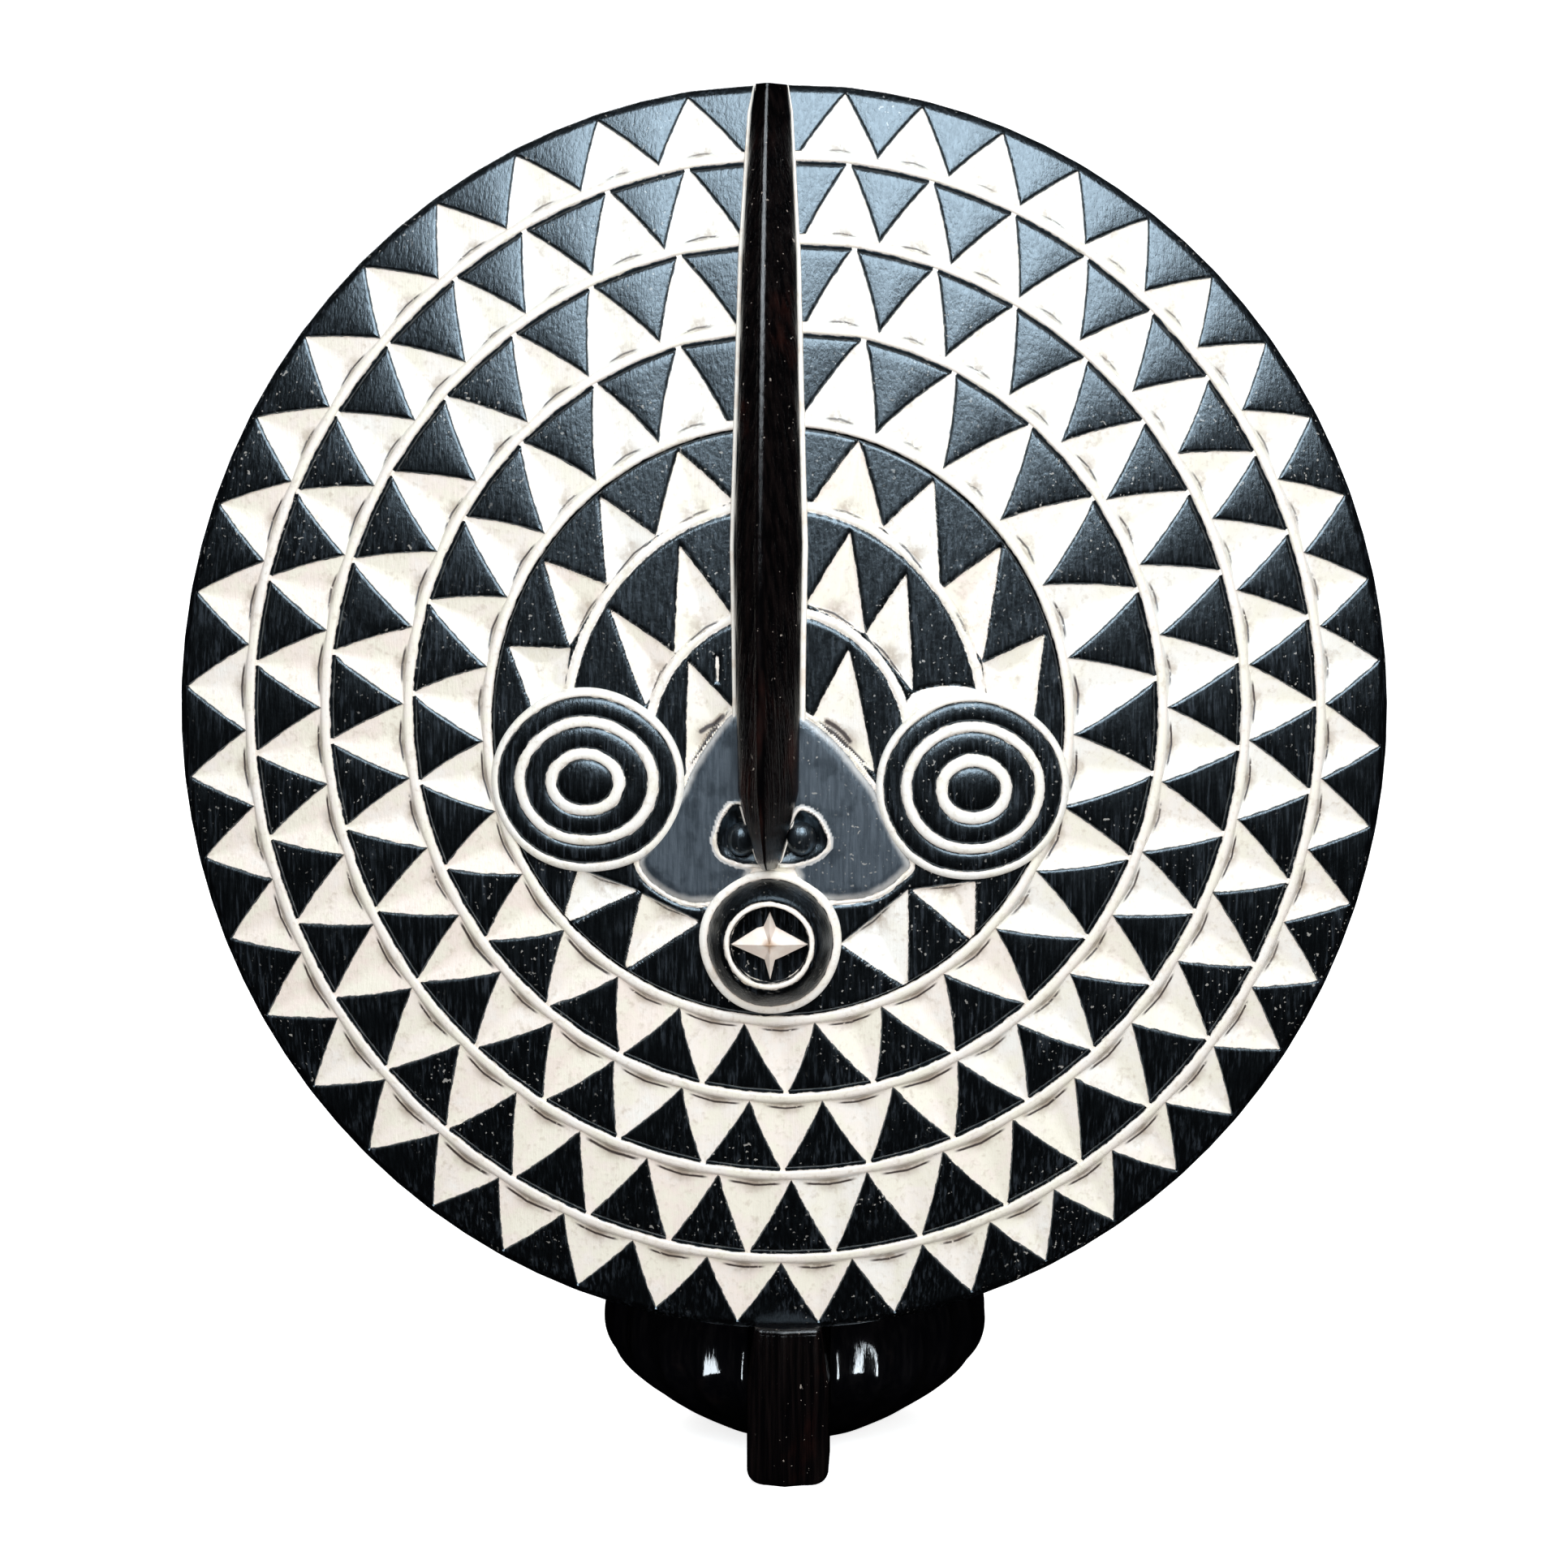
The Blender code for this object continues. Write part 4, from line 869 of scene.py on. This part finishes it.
# The nose from its top to its tip: at each height its half width, its height over the front and its white edgings.
nose = {
    "topX": -4.3, "tipX": -2.9,
    "z": (236.6, 226.0, 171.2, 123.2, 63.7, 33.3, 2.0, -27.0, -42.0, -53.0, -56.0),
    "halfWidth": (6.0, 7.4, 10.1, 11.1, 12.7, 12.1, 11.7, 11.2, 7.5, 4.2, 2.6),
    "height": (10.5, 11.0, 12.5, 13.5, 15.0, 16.0, 17.5, 19.0, 19.5, 18.5, 12.0),
    "leftEdging": (0.8, 1.6, 1.8, 1.8, 1.8, 1.8, 1.8, 1.5, 1.0, 0.9, 0.8),
    "rightEdging": (0.5, 1.0, 1.6, 2.0, 2.1, 2.1, 2.1, 1.7, 1.0, 0.9, 0.8),
    "edgingHeight": 1.7,
    "rows": 240,
    "section": (      # shares of the half width and the height: a narrow crown left of the middle, two flat flanks
        (-1.0, 0.02), (-1.0, 0.34), (-0.99, 0.48), (-0.95, 0.58), (-0.88, 0.65), (-0.62, 0.79), (-0.42, 0.90),
        (-0.35, 0.95), (-0.32, 0.975), (-0.29, 0.988), (-0.24, 0.992), (-0.19, 0.989), (-0.14, 0.982), (-0.10, 0.970),
        (-0.06, 0.945), (0.02, 0.90), (0.28, 0.74), (0.56, 0.56), (0.80, 0.41), (0.92, 0.33), (0.985, 0.25),
        (1.0, 0.17), (1.0, 0.02),
    ),
}


# The nose: its section carried down from the rim to the tip, stretched to the half width and height there, with
# a low white strip along each side.
def buildNose(material):
    known = np.array(nose["z"])[::-1]
    z = np.linspace(known[0], known[-1], nose["rows"])
    halfWidth, height, left, right = [np.interp(z, known, np.array(nose[key])[::-1])[:, None]
                                      for key in ("halfWidth", "height", "leftEdging", "rightEdging")]
    share = (z - known[0]) / (known[-1] - known[0])
    middle = (nose["tipX"] + (nose["topX"] - nose["tipX"]) * share)[:, None]
    section = np.array(nose["section"])
    low = np.minimum(nose["edgingHeight"], 0.5 * height)
    rise = np.maximum(section[:, 1] * height, low * 0.4)
    bar = middle + section[:, 0] * halfWidth
    leftX = middle - halfWidth - left * np.array([1.0, 1.0, 0.8, 0.35, 0.0])
    rightX = middle + halfWidth + right * np.array([0.0, 0.35, 0.8, 1.0, 1.0])
    strip = low * np.array([-4.0 / nose["edgingHeight"], 0.55, 0.95, 1.0, 0.75])
    x = np.concatenate([leftX, bar, rightX], axis=1)
    lift = np.concatenate([strip, rise, strip[:, ::-1]], axis=1)
    rows, columns = x.shape
    zs = np.repeat(z[:, None], columns, 1)
    places = onFront(x, zs, lift).reshape(-1, 3)
    ends = onFront(np.array([middle[0, 0], middle[-1, 0]]), np.array([z[0], z[-1]]), np.array([2.0, 2.0]))
    edging = np.array([2.0, 2.0, 1.6, 1.0, 0.25])
    paint = np.concatenate([edging, np.full(len(section), -2.0), edging[::-1]])
    paint = np.concatenate([np.tile(paint, rows), [-2.0, -2.0]])
    return makePiece("long_nose", np.concatenate([places, ends]), closedFaces(rows, columns), material, "mask",
                     {"paint": paint})


nostrilBalls = {
    "places": ((-13.2, -45.4), (9.0, -45.0)), "radius": 5.6, "tall": 1.15, "sunk": 0.5,
    "rows": 18, "columns": 32,
}


# Two small balls beside the nose's tip, deep in the nostrils: rings of sines and cosines between two poles.
def buildNostrils(material):
    rows, columns, size = nostrilBalls["rows"], nostrilBalls["columns"], nostrilBalls["radius"]
    tall, sunk = size * nostrilBalls["tall"], nostrilBalls["sunk"]
    rise = np.linspace(0.02, np.pi - 0.02, rows)[:, None]
    turn = np.linspace(0.0, 2 * np.pi, columns, endpoint=False)[None, :]
    places, faces = [], []
    for index, (x, z) in enumerate(nostrilBalls["places"]):
        ballX = x + size * np.sin(rise) * np.cos(turn)
        ballZ = z + tall * np.cos(rise) + 0 * turn
        places.append(onFront(ballX, ballZ, size * np.sin(rise) * np.sin(turn) - sunk).reshape(-1, 3))
        places.append(onFront(np.array([x, x]), z + tall * np.array([1.0, -1.0]), np.array([-sunk, -sunk])))
        faces.append(closedFaces(rows, columns, index * (rows * columns + 2)))
    count = 2 * (rows * columns + 2)
    # A tenth of the greyer field's colour on the black balls is a painted sheen, standing in for their highlights.
    marks = {"paint": np.full(count, -3.0), "crease": np.full(count, 9.0), "pit": np.full(count, 40.0),
             "slateAndSheen": np.full(count, 0.1)}
    return makePiece("nostril_balls", np.concatenate(places), np.concatenate(faces), material, "mask", marks)


# The star in the mouth: its outline round the mouth's middle, and which of its corners are points.
star = {
    "outline": ((0.1, 12.3), (2.3, 6.6), (4.7, 5.2), (14.2, 0.2), (4.8, -4.6), (1.9, -5.9), (0.2, -13.2), (-1.9, -5.8),
                (-4.9, -4.4), (-14.3, 0.0), (-4.6, 6.2), (-2.3, 6.7)),
    "points": (True, False, False, True, False, False, True, False, False, True, False, False),
    "tipHeight": 10.0, "cornerHeight": 8.3, "peak": 12.4, "floor": 5.6,
}


# Four points round a peak, each a ridge between two valleys: straight lines from the outline to the peak.
def buildStar(material):
    ridge, valley = star["tipHeight"], star["cornerHeight"]
    outline = np.array([(*place, ridge if reach else valley) for place, reach in zip(star["outline"], star["points"])])
    steps = np.arange(6)[None, :, None] / 6.0
    edge = (outline[:, None] * (1 - steps) + np.roll(outline, -1, 0)[:, None] * steps).reshape(-1, 3)
    shares = np.array([1.0, 1.0, 0.8, 0.6, 0.4, 0.2])[:, None]
    x = mouth["x"] + shares * edge[:, 0]
    z = mouth["z"] + shares * edge[:, 1]
    lift = star["peak"] + (edge[:, 2] - star["peak"]) * shares
    lift[0] = star["floor"]
    columns = len(edge)
    places = onFront(x, z, lift).reshape(-1, 3)
    ends = onFront(np.full(2, mouth["x"]), np.full(2, mouth["z"]), np.array([star["floor"], star["peak"]]))
    reach = np.concatenate([np.repeat(shares.ravel(), columns), [1.0, 0.0]])
    return makePiece("mouth_star", np.concatenate([places, ends]), closedFaces(len(shares), columns), material, "mask",
                     {"reach": reach}, 12.0)


# Pale paint rubbed down to brown wood at the peak, where the mark "reach" nears zero.
def starWood():
    n = Nodes("star_paint")
    reach = n.mark("reach")
    cloud = n.noise(240.0, 4.0, 0.6)
    centre = n.ramp(n.plus(reach, n.times(cloud, 0.3)), 0.55, 0.20)
    colour = n.mix(n.ramp(cloud, 0.4, 0.7), (0.78, 0.66, 0.58), (0.82, 0.74, 0.66))
    colour = n.mix(n.times(centre, 0.9), colour, (0.36, 0.22, 0.13))
    return n.finish(colour, 0.45, cloud, 0.0002)


leg = {
    "x": 3.5, "topWidth": 25.6, "width": 31.5, "shoulder": 22.0, "proud": 8.0, "depth": 25.5, "overRim": 2.5,
    "footRound": 6.0, "edgeRound": 2.5, "ridge": 2.2, "ridgeAside": 0.16, "rows": 90,
}


# The leg: a rounded box section carried up from the foot, narrower over its shoulder, rounded off at its foot's
# corners, with a low ridge down its front that falls off to both sides.
def buildLeg(material):
    top = disc["lift"] + leg["overRim"]
    foot = leg["footRound"] * (1.0 - np.cos(np.linspace(0.0, np.pi / 2, 10)))
    z = np.concatenate([foot, np.linspace(leg["footRound"], top - 1.0, leg["rows"])[1:],
                        top - np.array([0.5, 0.15, 0.0])])
    half = np.interp(z, [0.0, top - leg["shoulder"], top], [leg["width"] / 2, leg["width"] / 2, leg["topWidth"] / 2])
    half = half - leg["footRound"] * (1.0 - quarterRound(z / leg["footRound"]))
    lip = np.interp(z, [0.0, 1.2, top - 2.0, top - 0.9, top], [0.8, 0.0, 0.0, 0.5, 1.6])
    turn = np.linspace(0.0, np.pi / 2, 6)
    r = leg["edgeRound"]
    flat = np.linspace(-1, 1, 15)[1:-1]      # between the two rounded edges
    across = np.concatenate([[-1.0, -1.0], -1.0 + 0 * turn, flat, 1.0 + 0 * turn, [1.0, 1.0]])
    inset = np.concatenate([[0.0, 0.0], r * (1 - np.cos(turn)), 0 * flat, r * (1 - np.cos(turn[::-1])), [0.0, 0.0]])
    back = np.concatenate([[leg["depth"], 9.0], r * (1 - np.sin(turn)), 0 * flat, r * (1 - np.sin(turn[::-1])),
                           [9.0, leg["depth"]]])
    x = across * (half[:, None] - r) + np.sign(across) * (r - inset) * (np.abs(across) == 1.0)
    swell = leg["ridge"] * np.clip(1.0 - np.abs(across + leg["ridgeAside"]), 0.0, 1.0) ** 1.15
    y = -leg["proud"] + back[None, :] - swell[None, :] + lip[:, None] * (back < leg["depth"])[None, :]
    y = np.minimum(y, leg["depth"] - leg["proud"])
    rows, columns = x.shape
    places = np.stack([centreX + mm * (leg["x"] + x), lowestY + mm * y,
                       maskLow.z + mm * np.repeat(z[:, None], columns, 1)], -1).reshape(-1, 3)
    ends = np.array([[centreX + mm * leg["x"], lowestY + mm * 4.0, maskLow.z + mm * end] for end in (0.0, top)])
    marks = {"paint": np.full(rows * columns + 2, -3.0)}
    return makePiece("front_leg", np.concatenate([places, ends]), closedFaces(rows, columns), material, "mask", marks)


# Gloss brown black of the nose and the leg, with dark streaks, reddish wear, pale flecks and ivory edgings.
def darkWood():
    n = Nodes("brown_black_wood")
    paint = n.mark("paint")
    wobble = n.times(n.math("SUBTRACT", n.noise(260.0, 3.0), 0.5), 0.9)
    isWhite = n.ramp(n.plus(paint, wobble), -0.1, 0.2)
    grain = n.noise(1.0, 5.0, 0.65, (520.0, 520.0, 22.0))
    streak = n.ramp(grain, 0.40, 0.70)
    dark = n.mix(streak, (0.0008, 0.0007, 0.0009), (0.0044, 0.0029, 0.0028))
    rust = n.ramp(n.noise(30.0, 4.0, 0.6, (1.0, 1.0, 0.5)), 0.55, 0.72)
    rust = n.times(rust, n.ramp(grain, 0.35, 0.6))
    dark = n.mix(n.times(rust, 0.55), dark, (0.024, 0.0060, 0.0040))
    fleck = n.times(n.ramp(n.noise(520.0, 2.0, 0.5), 0.715, 0.74), n.ramp(n.noise(22.0, 2.0), 0.42, 0.55))
    dark = n.mix(n.times(fleck, 0.7), dark, (0.35, 0.30, 0.26))
    blotch = n.noise(120.0, 4.0, 0.6)
    light = n.mix(n.ramp(blotch, 0.45, 0.7), (0.82, 0.77, 0.70), (0.66, 0.56, 0.47))
    colour = n.mix(isWhite, dark, light)
    roughness = n.plus(n.ramp(grain, 0.3, 0.7, 0.08, 0.17), n.times(isWhite, 0.35))
    return n.finish(colour, roughness, grain, 0.00030)


# The stand. "profile" is its half width and height from the foot up.
stand = {
    "profile": ((32.0, 0.0), (36.0, 2.0), (47.0, 8.0), (59.5, 16.5), (69.2, 25.0), (75.2, 32.5), (77.6, 41.0),
                (76.8, 51.0), (73.5, 62.0), (68.0, 73.0), (59.0, 82.5), (46.0, 88.0)),
    "ribs": 26, "ribDepth": 3.0, "rows": 84, "ribColumns": 14,
    "tuck": 2.9,             # how far the front crowns lean in towards their top
    "axis": 83.0,            # from the disc's lowest place back to the stand's middle
    "gap": 0.3,              # round the leg and the rim
}


# A smooth line through the profile's points, by their distance along it.
def profileLine(points, count):
    points = np.array(points)
    lengths = np.concatenate([[0.0], np.cumsum(np.hypot(*np.diff(points, axis=0).T))])
    where = np.linspace(0.0, lengths[-1], count)
    line = np.stack([np.interp(where, lengths, points[:, 0]), np.interp(where, lengths, points[:, 1])], -1)
    for _ in range(12):
        line[1:-1] = (line[:-2] + 2 * line[1:-1] + line[2:]) / 4
    return line


# Faces of a prism whose two ends each have so many corners, one end's after the other's.
def prismFaces(count):
    ring = list(range(count))
    sides = [(i, (i + 1) % count, count + (i + 1) % count, count + i) for i in ring]
    return [tuple(ring), tuple(count + i for i in ring)] + sides


# The stand: its profile turned round its axis, drawn in between the ribs by their depth times a power of the sine
# of the way through a rib, then cut in front for the leg and the disc's edge.
def buildStand(material):
    line = profileLine(stand["profile"], stand["rows"])
    rows, columns = stand["rows"], stand["ribs"] * stand["ribColumns"]
    turn = np.linspace(0.0, 2 * np.pi, columns, endpoint=False)
    z = line[:, 1]
    fade = np.clip((z - 5.0) / 14.0, 0.0, 1.0) * np.clip((88.5 - z) / 10.0, 0.0, 1.0)
    fade = fade * fade * (3 - 2 * fade)
    hollow = np.abs(np.sin(stand["ribs"] * turn / 2.0)) ** 1.3
    tucked = np.clip((z - 26.0) / 32.0, 0.0, 1.0) * stand["tuck"]
    inFront = np.clip((np.cos(turn) - 0.5) / 0.3, 0.0, 1.0)
    reach = line[:, :1] - stand["ribDepth"] * fade[:, None] * hollow - tucked[:, None] * (1.0 - hollow) * inFront
    baseX, axisY = centreX + mm * leg["x"], lowestY + mm * stand["axis"]
    places = np.stack([baseX + mm * reach * np.sin(turn), axisY - mm * reach * np.cos(turn),
                       standLow.z + mm * np.repeat(z[:, None], columns, 1)], -1).reshape(-1, 3)
    ends = np.array([[baseX, axisY, standLow.z], [baseX, axisY, standLow.z + mm * z[-1]]])
    piece = makePiece("ribbed_stand", np.concatenate([places, ends]), closedFaces(rows, columns), material, "stand")

    half = leg["width"] / 2 + stand["gap"]
    behind = leg["depth"] - leg["proud"] + stand["gap"]
    sides = ((-half, -200.0), (half, -200.0), (half, behind), (-half, behind))
    corners = [(baseX + mm * x, lowestY + mm * y, standLow.z + mm * h) for h in (-30.0, 95.0) for x, y in sides]
    notch = addObject("leg_notch", closedMesh("leg_notch", corners, prismFaces(4)))
    around = 240
    rimX, rimZ = onOval(rimOval, allRound(around), stand["gap"])
    slab = np.concatenate([toRoom(rimX, y, rimZ) for y in (-200.0, disc["edge"] + stand["gap"])])
    rebate = addObject("rim_rebate", closedMesh("rim_rebate", slab, prismFaces(around)))
    for made in (notch, rebate):
        cut = piece.modifiers.new(made.name, "BOOLEAN")
        cut.operation, cut.solver, cut.object = "DIFFERENCE", "EXACT", made
    bpy.context.view_layer.update()
    shown = piece.evaluated_get(bpy.context.evaluated_depsgraph_get())
    done = bpy.data.meshes.new_from_object(shown)
    piece.modifiers.clear()
    piece.data = done
    done.shade_smooth()
    done.set_sharp_from_angle(angle=math.radians(usualSharp))
    for made in (notch, rebate):
        bpy.data.objects.remove(made, do_unlink=True)
    return piece


# Black gloss lacquer over wood, with a faint vertical grain and a few dull scuffs.
def lacquer():
    n = Nodes("black_lacquer")
    grain = n.noise(1.0, 4.0, 0.6, (380.0, 380.0, 40.0))
    cloud = n.noise(45.0, 4.0, 0.6)
    colour = n.mix(n.ramp(grain, 0.4, 0.75), (0.0007, 0.0007, 0.0010), (0.0022, 0.0020, 0.0022))
    colour = n.mix(n.times(n.ramp(cloud, 0.62, 0.78), 0.5), colour, (0.006, 0.004, 0.0035))
    return n.finish(colour, n.ramp(cloud, 0.3, 0.75, 0.05, 0.10), grain, 0.00012)


# The floor glows a little, as an overexposed backdrop does, and neither lights the mask nor shows in its gloss.
room = {
    "floorTone": (0.90, 0.90, 0.90), "floorSpeck": (0.88, 0.88, 0.88), "floorGlow": 0.78,
    "air": (0.97, 0.98, 1.0), "airStrength": 0.30,
    "bendAt": 1.6, "bendRadius": 0.9,      # where the floor turns up, in metres
    "reach": 40.0, "wallTop": 12.0,
}


# A floor that turns up into a back wall: flat, a quarter round, then upright.
def buildRoom():
    n = Nodes("pale_floor")
    speck = n.noise(30.0, 3.0)
    floorPaint = n.finish(n.mix(speck, room["floorTone"], room["floorSpeck"]), 0.6, Emission_Color=(1.0, 1.0, 1.0),
                          Emission_Strength=room["floorGlow"])
    bend = np.linspace(0.0, np.pi / 2, 24)[1:]
    start, radius = room["bendAt"], room["bendRadius"]
    y = np.concatenate([[-room["reach"], start], start + radius * np.sin(bend), [start + radius]])
    z = np.concatenate([[0.0, 0.0], radius * (1 - np.cos(bend)), [room["wallTop"]]])
    x, y, z = np.broadcast_arrays([-room["reach"], room["reach"]], y[:, None], z[:, None])
    places = np.stack([x, y, z], -1).reshape(-1, 3)
    faces = [(2 * i, 2 * i + 1, 2 * i + 3, 2 * i + 2) for i in range(len(y) - 1)]
    mesh = bpy.data.meshes.new("pale_floor")
    mesh.from_pydata(places, [], faces)
    mesh.shade_smooth()
    mesh.materials.append(floorPaint)
    floor = addObject("pale_floor", mesh)

    floor.visible_glossy = False
    floor.visible_diffuse = False

    world = bpy.data.worlds.new("soft_air")
    bpy.context.scene.world = world
    world.use_nodes = True
    air = world.node_tree.nodes["Background"].inputs
    air["Color"].default_value = (*room["air"], 1.0)
    air["Strength"].default_value = room["airStrength"]
    world.cycles_visibility.glossy = False
    bpy.context.scene.view_settings.view_transform = "Standard"


# A light with "only" shines on those pieces alone, and one with "ends" is a strip between two places. These thin
# lights give the nose, the leg and the stand's ribs their highlights.
blue = (0.84, 0.93, 1.0)
warm = (1.0, 0.99, 0.97)
lights = {
    "key": {"place": (0.27, -1.54, 2.00), "aim": (0.0, -0.04, 0.40), "size": (2.2, 1.3), "power": 56.0,
            "colour": (0.86, 0.94, 1.0)},
    "behind": {"place": (-0.50, 1.80, 1.10), "aim": (0.0, 0.0, 0.25), "size": (1.2, 1.0), "power": 24.0,
               "colour": warm},
    "broad_front": {"place": (0.35, -2.3, 0.45), "aim": (0.0, 0.0, 0.17), "size": (1.9, 1.2), "power": 37.0,
                    "colour": warm, "inGloss": False},
    "nose_catch": {"place": (0.20, -1.90, 1.65), "aim": (0.0, -0.05, 0.42), "size": (0.06, 1.15), "power": 8.5,
                   "colour": blue, "only": ("long_nose", "front_leg")},
    "leg_catch": {"ends": ((0.000, -0.34, 0.010), (-0.012, -0.80, 0.060)), "aim": (0.003, -0.07, 0.05),
                  "width": 0.020, "power": 0.55, "colour": blue, "only": ("front_leg",)},
    "right_catch": {"ends": ((0.060, -0.078, 0.003), (0.330, -0.50, 0.085)), "aim": (0.03, -0.02, 0.05),
                    "width": 0.014, "power": 0.6, "colour": blue, "only": ("ribbed_stand",)},
    "left_catch": {"ends": ((-0.045, -0.078, 0.003), (-0.230, -0.50, 0.085)), "aim": (-0.03, -0.02, 0.05),
                   "width": 0.014, "power": 0.5, "colour": blue, "only": ("ribbed_stand",)},
}
view = {
    "aimX": 0.00115, "aimZ": 0.26906, "distance": 1.6, "turn": math.radians(2.0), "above": math.radians(9.0),
    "angle": math.radians(21.188),
}


# An area light turned to its aim: its long side upright, or along its strip, and its face at right angles to that.
def addLight(name, light):
    data = bpy.data.lights.new(name, "AREA")
    data.shape = "RECTANGLE"
    along, place = Vector((0.0, 0.0, 1.0)), Vector(light.get("place", (0.0, 0.0, 0.0)))
    back = place - Vector(light["aim"])
    if "ends" in light:
        low, high = [Vector(end) for end in light["ends"]]
        data.size, data.size_y = light["width"], (high - low).length
        along, place = (high - low).normalized(), (low + high) / 2
        back = place - Vector(light["aim"])
        back -= along * back.dot(along)
    else:
        data.size, data.size_y = light["size"]
    data.energy = light["power"]
    data.color = light["colour"]
    made = addObject(name, data)
    made.location = place
    made.visible_camera = False
    made.visible_glossy = light.get("inGloss", True)
    if "only" in light:
        lit = bpy.data.collections.new(name + "_lights")
        for piece in light["only"]:
            lit.objects.link(bpy.data.objects[piece])
        made.light_linking.receiver_collection = lit
    back.normalize()
    side = along.cross(back).normalized()
    made.rotation_euler = Matrix((side, back.cross(side), back)).transposed().to_euler()


# The camera looks at a place in the disc's plane, from its distance, turned to the right and raised.
def addCamera():
    data = bpy.data.cameras.new("photo_view")
    data.angle = view["angle"]
    data.clip_start, data.clip_end = 0.05, 50.0
    made = addObject("photo_view", data)
    aim = np.array([centreX + view["aimX"], centreY, view["aimZ"]])
    turn, above = view["turn"], view["above"]
    away = np.array([math.sin(turn) * math.cos(above), -math.cos(turn) * math.cos(above), math.sin(above)])
    made.location = aim + view["distance"] * away
    made.rotation_euler = (math.pi / 2 - above, 0.0, turn)
    bpy.context.scene.camera = made


print("room")
addCamera()
buildRoom()

print("disc")
paintMaterial = paintedWood("painted_wood", paintLook["gloss"])
buildDisc(paintMaterial, backWood())
print("face")
buildFace(paintMaterial)
for name, eye in eyes.items():
    ringedBoss(name, {**eyeRings, **eye}, paintMaterial)
ringedBoss("round_mouth", mouth, paintedWood("mouth_paint", paintLook["mouthGloss"]))
print("nose, star and leg")
darkMaterial = darkWood()
buildNose(darkMaterial)
buildNostrils(paintMaterial)
buildStar(starWood())
buildLeg(darkMaterial)
print("stand")
buildStand(lacquer())
print("lights")
for name, light in lights.items():
    addLight(name, light)
